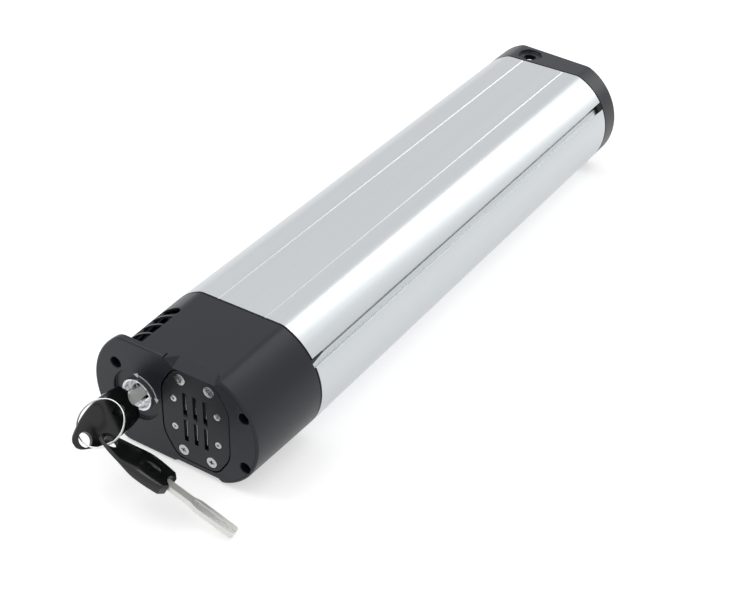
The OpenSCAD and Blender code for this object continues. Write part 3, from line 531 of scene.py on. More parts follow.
def raise_surface(tree, shader, height, depth):
    """Relief of a real depth in millimetres from a pattern."""
    bump = add(tree, "ShaderNodeBump", {"Strength": 1, "Distance": depth * MM}, {"Height": height})
    tree.links.new(bump.outputs["Normal"], shader.inputs["Normal"])


def moulded(name, dark, light, roughness, grain, depth):
    """Moulded plastic from a spark-eroded tool: an even fine grain, with soft cloudy variation.

    The real grain is about 0.05 mm. It is drawn coarser so that it shows.
    """
    material, tree, shader, place = start_material(name, {"IOR": 1.5, "Specular IOR Level": 0.34})
    fine = add(tree, "ShaderNodeTexNoise", {"Scale": 1 / (grain * MM), "Detail": 2}, {"Vector": place})
    cloud = add(tree, "ShaderNodeTexNoise", {"Scale": 1 / (25 * MM), "Detail": 3}, {"Vector": place})
    tint(tree, shader, cloud.outputs["Fac"], dark, light)
    vary_roughness(tree, shader, fine.outputs["Fac"], roughness - 0.06, roughness + 0.06)
    raise_surface(tree, shader, fine.outputs["Fac"], depth)
    return material


def drawn_metal(name, dark, light, roughness, spacing, depth, along=(0, 1, 0)):
    """Metal with fine lines along the way that it was drawn, rolled or turned."""
    material, tree, shader, place = start_material(name, {"Metallic": 1})
    across = [1 / (spacing * MM) * (0.004 if a else 1) for a in along]
    lines = add(tree, "ShaderNodeMapping", {"Scale": across}, {"Vector": place})
    streaks = add(tree, "ShaderNodeTexNoise", {"Scale": 1, "Detail": 3}, {"Vector": lines.outputs[0]})
    tint(tree, shader, streaks.outputs["Fac"], dark, light)
    vary_roughness(tree, shader, streaks.outputs["Fac"], roughness - 0.05, roughness + 0.05)
    raise_surface(tree, shader, streaks.outputs["Fac"], depth)
    return material


def plated_metal(name, dark, light, roughness, metallic=1.0):
    """Plated steel: bright and smooth, with faint handling marks in its gloss."""
    material, tree, shader, place = start_material(name, {"Metallic": metallic})
    marks = add(tree, "ShaderNodeTexNoise", {"Scale": 1 / (1.2 * MM), "Detail": 4}, {"Vector": place})
    tint(tree, shader, marks.outputs["Fac"], dark, light)
    vary_roughness(tree, shader, marks.outputs["Fac"], roughness - 0.05, roughness + 0.07)
    return material


def glossy_plastic(name, dark, light, roughness):
    """Polished moulding or insulation: a smooth skin with a slight waviness."""
    material, tree, shader, place = start_material(name, {"IOR": 1.5})
    waves = add(tree, "ShaderNodeTexNoise", {"Scale": 1 / (6 * MM), "Detail": 2}, {"Vector": place})
    tint(tree, shader, waves.outputs["Fac"], dark, light)
    vary_roughness(tree, shader, waves.outputs["Fac"], roughness - 0.03, roughness + 0.05)
    raise_surface(tree, shader, waves.outputs["Fac"], 0.01)
    return material


def solder_mask():
    """Green solder mask over copper: a grid of tracks shows through the glossy film."""
    material, tree, shader, place = start_material("board_green", {"Roughness": 0.3, "IOR": 1.5})
    turned = add(tree, "ShaderNodeMapping", {"Rotation": (math.radians(90), 0, 0)}, {"Vector": place})
    tracks = add(tree, "ShaderNodeTexBrick", {"Scale": 1 / (8 * MM), "Mortar Size": 0.05,
        "Color1": (0, 0, 0, 1), "Color2": (0.3, 0.3, 0.3, 1), "Mortar": (1, 1, 1, 1)},
        {"Vector": turned.outputs[0]})
    tint(tree, shader, tracks.outputs["Color"], "#174a30", "#2c7049")
    raise_surface(tree, shader, tracks.outputs["Fac"], 0.03)
    return material


def closed_cell_foam():
    """Closed cell foam: round cells of about a millimetre in a matt skin."""
    material, tree, shader, place = start_material("foam", {"Roughness": 0.95, "IOR": 1.4})
    cells = add(tree, "ShaderNodeTexVoronoi", {"Scale": 1 / (1 * MM)}, {"Vector": place})
    tint(tree, shader, cells.outputs["Distance"], "#1b1b1d", "#2a2a2c")
    raise_surface(tree, shader, cells.outputs["Distance"], 0.2)
    return material


def pressed_fibre():
    """Pressed fibre sheet: short pale fibres that lie every way."""
    material, tree, shader, place = start_material("insulation", {"Roughness": 0.8, "IOR": 1.45})
    fibres = add(tree, "ShaderNodeTexNoise", {"Scale": 1 / (2 * MM), "Detail": 6, "Distortion": 3},
        {"Vector": place})
    tint(tree, shader, fibres.outputs["Fac"], "#cfccbf", "#efece1")
    raise_surface(tree, shader, fibres.outputs["Fac"], 0.03)
    return material


# Extruded aluminium, blasted and clear anodised: a pale satin with faint lines along the case
ALUMINIUM = drawn_metal("anodised_aluminium", "#c1c5c7", "#c8cccf", 0.37, 1.2, 0.004)
# Charcoal blend of PC and ABS: matt, and a little blue in white light
CASE_PLASTIC = moulded("case_plastic", "#12161e", "#191d25", 0.37, 0.5, 0.015)
# Glass-filled nylon: darker, with a finer grain
CONNECTOR_PLASTIC = moulded("connector_plastic", "#0d1116", "#13171d", 0.38, 0.4, 0.015)
# Flame-retardant nylon behind the contacts: black and dull
CARRIER_PLASTIC = moulded("carrier_plastic", "#0f1011", "#151617", 0.55, 0.6, 0.02)
# ABS of the cell holders: matt black with a coarse grain
HOLDER_PLASTIC = moulded("holder_plastic", "#161718", "#1d1e1f", 0.6, 0.8, 0.03)
# Uncoloured ABS: milky white and matt
TRAY_PLASTIC = moulded("tray_plastic", "#d6d5cf", "#e2e1dc", 0.5, 0.8, 0.02)
# Moulded epoxy of the board's parts: dull black with a fine grain
CHIP_BLACK = moulded("chip_black", "#121213", "#19191a", 0.65, 0.3, 0.01)
# Moulded silicone rubber: soft black that hardly shines
SEAL_RUBBER = moulded("seal_rubber", "#0c0c0d", "#131314", 0.8, 0.7, 0.02)
# Nickel-plated steel: bright, with a slight grey cast
NICKEL_SCREW = plated_metal("nickel_screw", "#b5b6b8", "#c9cacc", 0.22)
# Silver-plated copper alloy: bright and a little warm
CONTACT_METAL = plated_metal("contact_metal", "#cfcfcc", "#e0e0dc", 0.2)
# Chromed zinc casting: sharp, near white reflections
LOCK_CHROME = plated_metal("lock_chrome", "#d2d4d6", "#e0e1e3", 0.12)
# Zinc-plated steel: greyer, with blurred reflections
DRIVER_STEEL = plated_metal("driver_steel", "#a5a8aa", "#bdbfc1", 0.3)
# Blackened steel: dark, with a soft metal gleam
BOLT_BLACK = plated_metal("bolt_black", "#151617", "#202123", 0.4)
# Tumbled and plated steel of the key blades, frosted by the tumbling. Much of its pale grey is drawn
# diffuse: a painted reflection that stands in for the light the blade catches from all round.
KEY_STEEL_WITH_PAINTED_REFLECTION = plated_metal("key_steel", "#dededb", "#edece9", 0.3, 0.4)
# Polished spring steel wire
RING_STEEL = plated_metal("ring_steel", "#cdced0", "#dddedf", 0.15)
# Rolled nickel strip: silky grey
NICKEL_STRIP = plated_metal("nickel_strip", "#b3b3af", "#c6c6c2", 0.25)
# Extruded bare aluminium: satin, with lines up the fins
SINK_ALUMINIUM = drawn_metal("sink_aluminium", "#b4b7b9", "#c3c6c8", 0.4, 0.8, 0.01, (0, 0, 1))
# Polished black ABS: a deep black with wet-looking highlights
KEY_PLASTIC = glossy_plastic("key_plastic", "#070808", "#0c0d0e", 0.2)
# Shrunk PVC sleeve: thin, shiny and green
CELL_WRAP = glossy_plastic("cell_wrap", "#357a73", "#41897f", 0.28)
# Amber fuse body: glossy
FUSE_BODY = glossy_plastic("fuse_body", "#9a7326", "#ad8430", 0.3)
# PVC insulation of the wires, with the soft gloss of an extruded skin
WIRE_RED = glossy_plastic("wire_red", "#a01f18", "#b4281f", 0.35)
WIRE_BLACK = glossy_plastic("wire_black", "#111112", "#181819", 0.35)
WIRE_WHITE = glossy_plastic("wire_white", "#dcdcd8", "#e8e8e4", 0.35)
# Board, foam and fibre sheets, each from its own function
BOARD_GREEN = solder_mask()
FOAM = closed_cell_foam()
INSULATION = pressed_fibre()
# Printed ink of the turn mark: flat white
MARK_WHITE = moulded("mark_white", "#e4e4e2", "#f0f0ee", 0.6, 0.8, 0.005)


# Tube

def channel_frame(u, v):
    """Point (x, z) of the right channel: u runs out from the side's centre, v across the channel."""
    c, s = math.cos(CHAN_ANG), math.sin(CHAN_ANG)
    return SIDE_C + u * c - v * s, u * s + v * c


def tube_side():
    """Right side of the tube's outline with its channel, and the groove in the top flat."""
    half = CHAN_W / 2
    edge = math.sqrt(SIDE_R ** 2 - (half + NICK) ** 2)
    floor, slit = SIDE_R - CHAN_D, SIDE_R - SLIT_D
    inner = half - SLIT_W
    section = [(edge, -half - NICK), (edge - NICK, -half), (floor, -half), (floor, inner), (slit, inner),
        (slit, half), (edge - NICK, half), (edge, half + NICK)]
    width = math.asin((half + NICK) / SIDE_R)
    side = case_side()

    def angle(point):
        return math.atan2(point[1], point[0] - SIDE_C)
    below = [p for p in side if p[0] > SIDE_C + 1 and angle(p) < CHAN_ANG - width - 0.01]
    above = [p for p in side if p[0] > SIDE_C + 1 and angle(p) > CHAN_ANG + width + 0.01]
    groove = [(GROOVE_X + GROOVE_W / 2, MIDDLE), (GROOVE_X, MIDDLE - GROOVE_W / 2),
        (GROOVE_X - GROOVE_W / 2, MIDDLE)]
    return below + [channel_frame(u, v) for u, v in section] + above + groove


def in_channel(u0, u1, v0, v1, y0, y1):
    """Bars along both channels, in the channels' own frame."""
    corners = [channel_frame(u, v) for u, v in ((u0, v0), (u1, v0), (u1, v1), (u0, v1))]
    return merged(prism(corners, y0, y1), prism([(-x, z) for x, z in corners], y0, y1))


def tongues(y0, y1):
    """Tapered tongue along the upper edge of each channel."""
    u, v = SIDE_R - CHAN_D + SNUG, CHAN_W / 2 - SNUG
    shapes = []
    for side in (-1, 1):
        rings = []
        for width, rise, y in ((TONGUE_W, CHAN_D - 2 * SNUG, y0), (TONGUE_TIP_W, TONGUE_TIP_T, y1)):
            corners = [(u, v - width), (u + rise, v - width), (u + rise, v), (u, v)]
            rings.append([(side * x, y, z) for x, z in (channel_frame(*c) for c in corners)])
        shapes.append(loft(rings))
    return merged(*shapes)


def port_rods(r, y0, y1):
    """Four rods in the places of the screw ports."""
    bm = bmesh.new()
    for x, z in PORTS:
        rod(bm, r, y0, y1, x, z)
    return bm


def make_tube():
    """Extruded case, cut square at both ends."""
    length = REAR - SEAM
    tube = prism(both_sides(tube_side()), 0, length)
    room = prism(case_points(TUBE_WALL), -OVER, length + OVER)
    cut(room, port_rods(PORT_R, -2 * OVER, length + 2 * OVER))
    cut(room, in_channel(SIDE_R - BACK_D, SIDE_R, -BACK_W / 2, BACK_W / 2, -2 * OVER, length + 2 * OVER))
    cut(tube, room)
    cut(tube, port_rods(PORT_HOLE_R, -OVER, length + OVER))
    piece("tube_extruded", tube, ALUMINIUM, ["tube"], Matrix.Translation((0, SEAM, MIDDLE)))


# Front shell

def ring_at(points, y):
    """Outline of (x, z) points as 3D points at a depth."""
    return [(x, y, z) for x, z in points]


def ramp_cutter(depth):
    """Wedge that slopes from the connector's edge up to the shell's flat."""
    top = BODY_H / 2
    far = 1 + OVER / depth
    points = []
    for s in (-1, 1):
        points += [(s * RAMP_FOOT, 0, top - depth), (s * RAMP_FOOT, -OVER, top - depth),
            (s * RAMP_MOUTH, 0, top), (s * RAMP_MOUTH, -OVER, top), (s * RAMP_BACK, RAMP_L, top),
            (s * (RAMP_FOOT + (RAMP_MOUTH - RAMP_FOOT) * far), -OVER, top + OVER),
            (s * (RAMP_FOOT + (RAMP_MOUTH - RAMP_FOOT) * far), 0, top + OVER),
            (s * RAMP_BACK, RAMP_L * far, top + OVER)]
    bm = bmesh.new()
    for point in points:
        bm.verts.new(point)
    made = bmesh.ops.convex_hull(bm, input=bm.verts)
    loose = {g for key in ("geom_interior", "geom_unused") for g in made[key]}
    bmesh.ops.delete(bm, geom=[g for g in loose if isinstance(g, bmesh.types.BMVert)], context="VERTS")
    move(bm, (CONN_X, 0, 0))
    return bm


def window_cutter(number):
    """Cutter for one window, drawn from above. The last one is round at its right end."""
    near = WINDOW_Y + number * WINDOW_PITCH
    far = near + WINDOW_L
    right = [(-WINDOW_X, near), (-WINDOW_X, far)]
    if number == WINDOWS - 1:
        right = arc(-WINDOW_X - WINDOW_L / 2, (near + far) / 2, WINDOW_L / 2, -math.pi / 2, math.pi / 2, 16)
    window = prism([(-BODY_W, near)] + right + [(-BODY_W, far)], -BODY_H, -WINDOW_Z)
    rotate(window, -math.pi / 2, "X")
    return window


def lips(grow=0.0):
    """Thick lips above and below the connector, grown on all sides."""
    bm = bmesh.new()
    h = (BODY_H - CONN_H) / 2 - LIP_GAP
    for side in (-1, 1):
        block(bm, LIP_W + 2 * grow, h + 2 * grow, -grow, LIP_L + grow, CONN_X, side * (BODY_H - h) / 2)
    return bm


def make_front_shell():
    """Moulded front end, with its windows, screw posts, lips, ramps and tongues."""
    end = SHELL_END - FACE
    rings = [(depth * EDGE_R, DRAFT + inset * EDGE_R) for depth, inset in EDGE_SHARES]
    rings += [(end - NICK, 0), (end, NICK)]
    shell = loft([ring_at(case_points(inset), y) for y, inset in rings])
    bulk_y = end - BULKHEAD_T
    # Room inside, with the four screw posts left standing
    room = loft([ring_at(case_points(DRAFT + SHELL_WALL), PLATE_T),
        ring_at(case_points(SHELL_WALL), bulk_y)])
    cut(room, port_rods(POST_R, 0, end))
    cut(shell, room)
    # Recess for the front plate, open on the left
    cut(shell, prism(case_points(DRAFT + RIM_T), -OVER, PLATE_T))
    cut(shell, one_block(BODY_W, 2 * BODY_H, -OVER, PLATE_T, -RIM_X - BODY_W / 2))
    both_lips = prism(case_points(DRAFT + EDGE_R), 0, LIP_L)
    join(both_lips, lips(), "INTERSECT")
    join(shell, both_lips)
    cut(shell, port_rods(SHANK_HOLE_R, SEAT_D - OVER, end + OVER))
    cut(shell, port_rods(DEEP_R, -OVER, SEAT_D))
    # The wall is thin round the windows
    thin = loft([ring_at(case_points(DRAFT + WINDOW_WALL), 0), ring_at(case_points(WINDOW_WALL), end)])
    reach = WINDOW_Y + WINDOWS * WINDOW_PITCH + WINDOW_WALL
    corner = one_block(BODY_W / 2, BODY_H / 2, PLATE_T, reach, -WINDOW_X + WINDOW_WALL - BODY_W / 4,
        WINDOW_Z - WINDOW_WALL + BODY_H / 4)
    join(thin, corner, "INTERSECT")
    cut(shell, thin)
    for number in range(WINDOWS):
        cut(shell, window_cutter(number))
    cut(shell, ramp_cutter(RAMP_D))
    low = ramp_cutter(LOW_RAMP_D)
    bmesh.ops.transform(low, matrix=Matrix.Diagonal((1, 1, -1, 1)), verts=low.verts)
    bmesh.ops.recalc_face_normals(low, faces=low.faces)
    cut(shell, low)
    leads_w, leads_h = 2 * (SLOT_PITCH + LEAD_MARGIN), 2 * (SLOT_Z + LEAD_MARGIN)
    cut(shell, one_block(leads_w, leads_h, bulk_y - OVER, end + OVER, CONN_X))
    join(shell, tongues(end - SNUG, SHELL_L + TONGUE_L))
    piece("front_shell_moulded", shell, CASE_PLASTIC, ["front_shell"], AT_FACE)


# Front plate

def octagon_points(grow=0.0):
    """Outline of the connector, eight-sided with rounded corners."""
    w, h = CONN_W / 2, CONN_H / 2
    quarter = [(w, h - CONN_CUT_Z), (w - CONN_CUT_X, h)]
    right = [(x, -z) for x, z in reversed(quarter)] + quarter
    bm = bmesh.new()
    bm.faces.new([bm.verts.new((x, 0, z)) for x, z in both_sides(right)])
    bmesh.ops.bevel(bm, geom=list(bm.verts), offset=CONN_CORNER_R, offset_type="OFFSET", segments=5,
        profile=0.5, affect="VERTICES", material=-1)
    bm.faces.ensure_lookup_table()
    points = [(l.vert.co.x, l.vert.co.z) for l in bm.faces[0].loops]
    bm.free()
    wide, high = 1 + grow / w, 1 + grow / h
    return [(x * wide, z * high) for x, z in points]


def plate_points():
    """Outline of the front plate: round and proud on the left, inside the rim on the right."""
    half = BODY_H / 2 - LOBE_INSET
    rise = half - LOBE_CORNER
    run = math.sqrt((LOBE_R - LOBE_CORNER) ** 2 - rise ** 2)
    lean = math.atan2(rise, run)
    corner = arc(-LOBE_X - run, rise, LOBE_CORNER, math.pi / 2, math.pi - lean, 10)
    lobe = corner[:-1] + arc(-LOBE_X, 0, LOBE_R, math.pi - lean, math.pi + lean, 50)
    lobe += [(x, -z) for x, z in reversed(corner[:-1])]
    right = case_side(DRAFT + RIM_T + PLATE_GAP)
    low = (-RIM_X - PLATE_GAP, -half)
    step = (-RIM_X - PLATE_GAP, right[0][1])
    return lobe + [low, step] + right + [(step[0], -step[1]), (low[0], -low[1])]


def make_front_plate():
    """Plate with its lobe on the left, the connector's tray and the dish round the lock."""
    plate = prism(plate_points(), 0, PLATE_T)
    soften(plate, PLATE_EDGE, 4,
        lambda e: at_depth(e, 0) and all(v.co.x < -RIM_X - PLATE_GAP + SNUG for v in e.verts))
    floor = CONN_T + TRAY_FLOOR
    tray = prism(octagon_points(CONN_GAP + TRAY_WALL), PLATE_T / 2, floor)
    for x, z in screw_places(LARGE_X, LARGE_Z):
        join(tray, one_rod(LARGE_BOSS_R, CONN_T, floor + LARGE_BOSS_L, x, z))
    move(tray, (CONN_X, 0, 0))
    join(plate, tray)
    cut(plate, lips(SNUG))
    recess = prism(octagon_points(CONN_GAP), -OVER, CONN_T)
    carrier = one_block(CARRIER_W + 2 * SNUG, CARRIER_H + 2 * SNUG, CONN_T - OVER, floor + OVER)
    shanks = bmesh.new()
    for x, z in screw_places(LARGE_X, LARGE_Z):
        rod(shanks, LARGE_SHANK_R, CONN_T - OVER, floor + LARGE_BOSS_L + OVER, x, z)
    for tool in (recess, carrier, shanks):
        move(tool, (CONN_X, 0, 0))
        cut(plate, tool)
    cut(plate, merged(*[hole(DEEP_R, 0, PLATE_T + OVER, x, z) for x, z in PORTS]))
    dish = [(0, -OVER), (DISH_R + CHAMFER + OVER, -OVER), (DISH_R, CHAMFER),
        (DISH_R, DISH_D - CHAMFER), (DISH_R - CHAMFER, DISH_D), (0, DISH_D)]
    cut(plate, lathe(dish, x=-LOCK_X))
    cut(plate, one_rod(NOSE_R + SNUG, -OVER, PLATE_T + OVER, -LOCK_X))
    piece("front_plate_moulded", plate, CASE_PLASTIC, ["front_plate"], AT_FACE)


# Connector

def screw_places(x, z):
    """Four places, one in each corner round the connector's middle."""
    return [(sx * x, sz * z) for sx in (-1, 1) for sz in (-1, 1)]


def six_places():
    """Places of the six slots."""
    return [(i * SLOT_PITCH, s * SLOT_Z) for i in (-1, 0, 1) for s in (-1, 1)]


def make_connector():
    """Eight-sided body with six slots, seats for its screws and three bumps."""
    body = prism(octagon_points(), 0, CONN_T)
    soften(body, CONN_EDGE, 3, lambda e: at_depth(e, 0))
    slots = bmesh.new()
    for x, z in six_places():
        block(slots, SLOT_W, SLOT_H, -OVER, CONN_T + OVER, x, z)
    cut(body, slots)
    for places, r, h, shank in ((screw_places(LARGE_X, LARGE_Z), LARGE_HEAD_R, LARGE_HEAD_H, LARGE_SHANK_R),
            (screw_places(SMALL_X, SMALL_Z), SMALL_HEAD_R, SMALL_HEAD_H, SMALL_SHANK_R)):
        seat = [(0, -OVER), (r + SEAT_GAP, -OVER), (r + SEAT_GAP, SEAT_SINK),
            (shank + SNUG, h + SEAT_SINK), (shank + SNUG, CONN_T + OVER), (0, CONN_T + OVER)]
        cut(body, merged(*[lathe(seat, SCREW_STEPS, x, z) for x, z in places]))
    # Raised guide bumps between the two rows of slots
    for i in (-1, 0, 1):
        join(body, ellipsoid((i * SLOT_PITCH, 0, BUMP_Z), (BUMP_W / 2, BUMP_T, BUMP_H / 2), 20, 12))
    piece("connector_moulded", body, CONNECTOR_PLASTIC, ["connector_body"], AT_CONN)


def make_contacts():
    """Six contacts, each of two leaves on a base with a crimp for its lead."""
    contact = bmesh.new()
    for s in (-1, 1):
        block(contact, LEAF_T, LEAF_H, LEAF_Y, CONTACT_END, s * (LEAF_GAP + LEAF_T) / 2)
    soften(contact, LEAF_EDGE, 2, lambda e: at_depth(e, LEAF_Y))
    base = one_block(LEAF_GAP + LEAF_T, LEAF_H, CONTACT_END - CONTACT_BASE_T, CONTACT_END)
    rod(base, CRIMP_R, CONTACT_END, CONTACT_END + CRIMP_L, steps=24)
    places = [Matrix.Translation((x, 0, z)) for x, z in six_places()]
    piece("contacts_pressed", copies(merged(contact, base), places), CONTACT_METAL, ["contacts"], AT_CONN)


# Screws

def cross_screw(head_r, head_h, shank_r, length):
    """Countersunk screw with a cross recess, whose head faces the front at depth 0."""
    profile = [(0, CROWN_Y), (head_r * CROWN_SHARE, CROWN_Y + CROWN_FALL),
        (head_r - HEAD_RIM_W, HEAD_RIM_W), (head_r, HEAD_RIM_Y), (shank_r, head_h),
        (shank_r, length - shank_r), (0, length)]
    screw = lathe(profile, SCREW_STEPS)
    for angle in (0, math.pi / 2):
        bar = one_block(2 * head_r * CROSS_REACH_SHARE, head_r * CROSS_W_SHARE, -OVER,
            head_r * CROSS_D_SHARE)
        for v in bar.verts:
            if v.co.y > 0:
                v.co.x *= CROSS_TAPER_SHARE
        rotate(bar, angle, "Y")
        cut(screw, bar)
    return screw


def socket_screw(length):
    """Cylinder head screw with a hexagon socket, whose head starts at depth 0."""
    end = length + SCREW_HEAD_H
    profile = [(0, 0), (SCREW_HEAD_R - CHAMFER, 0), (SCREW_HEAD_R, CHAMFER),
        (SCREW_HEAD_R, SCREW_HEAD_H), (SCREW_R, SCREW_HEAD_H), (SCREW_R, end), (0, end)]
    screw = lathe(profile, SCREW_STEPS)
    cut(screw, one_rod(SOCKET_R, -OVER, SOCKET_D, steps=6))
    return screw


def turned_places(places, first, step):
    """Places of a set of screws, each stopped at another turn, in degrees."""
    return [Matrix.Translation((x, 0, z)) @ Matrix.Rotation(math.radians(first + step * i), 4, "Y")
        for i, (x, z) in enumerate(places)]


def make_screws():
    """Screws of the connector, the front plate and the rear cap."""
    large = cross_screw(LARGE_HEAD_R, LARGE_HEAD_H, LARGE_SHANK_R, LARGE_L)
    small = cross_screw(SMALL_HEAD_R, SMALL_HEAD_H, SMALL_SHANK_R, SMALL_L)
    piece("connector_screws_cross", copies(large, turned_places(screw_places(LARGE_X, LARGE_Z), 20, 37)),
        NICKEL_SCREW, ["connector_screws"], AT_CONN)
    piece("carrier_screws_cross", copies(small, turned_places(screw_places(SMALL_X, SMALL_Z), 50, 29)),
        NICKEL_SCREW, ["carrier_screws"], AT_CONN)
    front = copies(socket_screw(LONG_SCREW_L), turned_places(PORTS, 10, 17))
    piece("front_screws_socket", front, NICKEL_SCREW, ["front_screws"],
        AT_FACE @ Matrix.Translation((0, SEAT_D - SCREW_HEAD_H, 0)))
    rear = copies(socket_screw(REAR_SCREW_L), turned_places(PORTS, 5, 23))
    piece("rear_screws_socket", rear, NICKEL_SCREW, ["rear_screws"],
        AT_REAR @ Matrix.Translation((0, REAR_SEAT_Y + SCREW_HEAD_H, 0)) @ Matrix.Rotation(math.pi, 4, "Z"))


# Lock

def make_lock_body():
    """Cast body: lipped nose, barrel, ears for its screws and a flange for the bolt guide."""
    lip = NOSE_LIP
    nose = [(0, NOSE_FACE_Y), (NOSE_R - 2 * lip, NOSE_FACE_Y), (NOSE_R - 2 * lip, lip / 2),
        (NOSE_R - lip, 0), (NOSE_R - lip / 3, lip / 3), (NOSE_R, lip), (NOSE_R, PLATE_T)]
    barrel = [(BARREL_R - BARREL_EDGE, PLATE_T), (BARREL_R, PLATE_T + BARREL_EDGE),
        (BARREL_R, LOCK_L), (0, LOCK_L)]
    body = lathe(nose + barrel)
    ear_end = PLATE_T + EAR_T
    join(body, one_block(2 * EAR_R, 2 * EAR_Z, PLATE_T, ear_end))
    for s in (-1, 1):
        join(body, one_rod(EAR_R, PLATE_T, ear_end, 0, s * EAR_Z))
    join(body, one_block(GUIDE_W, GUIDE_H, LOCK_L - FLANGE_T, LOCK_L, GUIDE_X))
    bore_r = PLUG_R + PLUG_PLAY
    cut(body, lathe([(0, -OVER), (THROAT_R + CHAMFER + OVER, -OVER), (THROAT_R, CHAMFER),
        (THROAT_R, PLUG_Y), (bore_r, PLUG_Y), (bore_r, LOCK_L + OVER), (0, LOCK_L + OVER)]))
    shanks = bmesh.new()
    for s in (-1, 1):
        rod(shanks, EAR_HOLE_R, PLATE_T - OVER, ear_end + OVER, 0, s * EAR_Z)
    cut(body, shanks)
    piece("lock_body_cast", body, LOCK_CHROME, ["lock_body"], AT_LOCK)


def make_lock_plug():
    """Turned plug, with its keyway in line with the key's blade."""
    plug = lathe([(0, PLUG_Y), (PLUG_R - PLUG_EDGE, PLUG_Y), (PLUG_R, PLUG_Y + PLUG_EDGE),
        (PLUG_R, PLUG_END), (0, PLUG_END)])
    keyway = one_block(BLADE_W + 2 * KEYWAY_GAP, BLADE_T + 2 * KEYWAY_GAP, 0,
        BLADE_L - HEAD_S + KEYWAY_END)
    rotate(keyway, KEY_TURN, "Y")
    cut(plug, keyway)
    piece("lock_plug_turned", plug, LOCK_CHROME, ["lock_plug"], AT_LOCK, "lock_plug")


def make_turn_mark():
    """White double arrow round the lock, from twelve to three o'clock, with two dots on it."""
    first, last = MARK_START, MARK_END
    outer = arc(0, 0, MARK_R + MARK_W / 2, first, last, 24)
    inner = arc(0, 0, MARK_R - MARK_W / 2, last, first, 24)
    outlines = [outer + inner]
    for turn, way in ((first, -1), (last, 1)):
        tip = turn + way * ARROW_L / MARK_R
        head = [(MARK_R * math.cos(tip), MARK_R * math.sin(tip))]
        outlines.append(head + [(r * math.cos(turn), r * math.sin(turn))
            for r in (MARK_R + ARROW_W / 2, MARK_R - ARROW_W / 2)])
    for turn in (first + (last - first) / 3, last - (last - first) / 3):
        x, z = MARK_R * math.cos(turn), MARK_R * math.sin(turn)
        outlines.append(arc(x, z, DOT_R, 0, 2 * math.pi, 16)[1:])
    shapes = [prism(outline, DISH_D - MARK_T, DISH_D + MARK_T) for outline in outlines]
    piece("turn_mark", merged(*shapes), MARK_WHITE, [], AT_LOCK)


# Keys, in their own frame: x is 0 at the lock's face and runs to the head, z goes through the key

def key_blade():
    """Blade with a narrow neck and a square tip, and a milled band with a deeper track on each face."""
    tip, end = HEAD_S - BLADE_L, HEAD_S + BLADE_IN_HEAD
    w, neck = BLADE_W / 2, NECK_W / 2
    half = [(tip, w - BLADE_CUT), (tip + BLADE_CUT, w), (HEAD_S - NECK_L - FLARE_L, w),
        (HEAD_S - NECK_L, neck), (end, neck)]
    blade = prism(half + [(x, -y) for x, y in reversed(half)], -BLADE_T / 2, BLADE_T / 2)
    soften(blade, BLADE_EDGE, 2, is_sharp)
    rotate(blade, math.pi / 2, "X")
    reach = BLADE_L - NECK_L
    step = reach / TRACK_STEPS
    for side in (-1, 1):
        mills = [(tip - OVER + reach / 2, 0, reach, BAND_W, BAND_T)]
        mills += [(tip + (i + 0.5) * step, side * TRACK_SWAY * math.sin(TRACK_PHASE * i),
            step * TRACK_L_SHARE, TRACK_W, TRACK_T) for i in range(TRACK_STEPS)]
        for x, y, length, width, depth in mills:
            cut(blade, centred_block((x, y, side * BLADE_T / 2), (length, width, 2 * depth)))
    return blade


def head_section(s):
    """Ring of the key head at a distance along it: a soft rectangle."""
    middle, end = HEAD_S + HEAD_L * FLANK_SHARE, HEAD_S + HEAD_L
    flank = math.sqrt(FLANK_R ** 2 - (s - middle) ** 2) - FLANK_R + HEAD_W / 2
    horn = HORN_W / 2 + (s - HEAD_S) * (HEAD_W - HORN_W) / 2 / HORN_L
    eye = math.sqrt(max(EYE_LEAST, 1 - max(0, (s - end + EYE_ROUND) / EYE_ROUND) ** 2))
    taper_s, eye_s = HEAD_S + HEAD_L * TAPER_SHARE, HEAD_S + HEAD_L * EYE_SHARE
    share = min(1, max(0, (s - taper_s) / (eye_s - taper_s)))
    share = share * share * (3 - 2 * share)
    front = math.sqrt(min(1, (s - HEAD_S + FRONT_START) / FRONT_ROUND))
    w = min(flank, horn) * (EYE_W_SHARE + (1 - EYE_W_SHARE) * eye)
    thickness = HEAD_T + (HEAD_TIP_T - HEAD_T) * share
    h = thickness / 2 * eye * (FRONT_T_SHARE + (1 - FRONT_T_SHARE) * front)
    ring = []
    for i in range(HEAD_POINTS):
        a = 2 * math.pi * i / HEAD_POINTS
        c, d = math.cos(a), math.sin(a)
        ring.append((s, w * math.copysign(abs(c) ** SQUARE_W, c), h * math.copysign(abs(d) ** SQUARE_T, d)))
    return ring


def key_head():
    """Moulded head with a notch at the neck, a dent on each face and a hole for the ring."""
    middle_l = HEAD_L - EYE_ROUND - MIDDLE_START
    stops = [HEAD_S + x for x in FRONT_STOPS]
    stops += [HEAD_S + MIDDLE_START + middle_l * i / MIDDLE_STEPS for i in range(MIDDLE_STEPS + 1)]
    stops += [HEAD_S + HEAD_L - x for x in EYE_STOPS]
    head = loft([head_section(s) for s in stops])
    notch = lathe([(0, -HEAD_T), (NOTCH_R, -HEAD_T), (NOTCH_R, HEAD_T), (0, HEAD_T)])
    eye = lathe([(0, -HEAD_T), (HOLE_R, -HEAD_T), (HOLE_R, HEAD_T), (0, HEAD_T)], 48)
    for tool, place in ((notch, (HEAD_S - NOTCH_BACK, 0, 0)), (eye, (HOLE_S, HOLE_W, 0))):
        rotate(tool, math.pi / 2, "X")
        move(tool, place)
        cut(head, tool)
    for side in (-1, 1):
        cut(head, ellipsoid((DENT_S, 0, side * HEAD_T / 2), (DENT_L / 2, DENT_W / 2, DENT_T), 40, 24))
    cut(head, centred_block((HEAD_S + (BLADE_IN_HEAD - OVER) / 2, 0, 0),
        (BLADE_IN_HEAD + OVER, NECK_W + SNUG, BLADE_T + SNUG)))
    return head


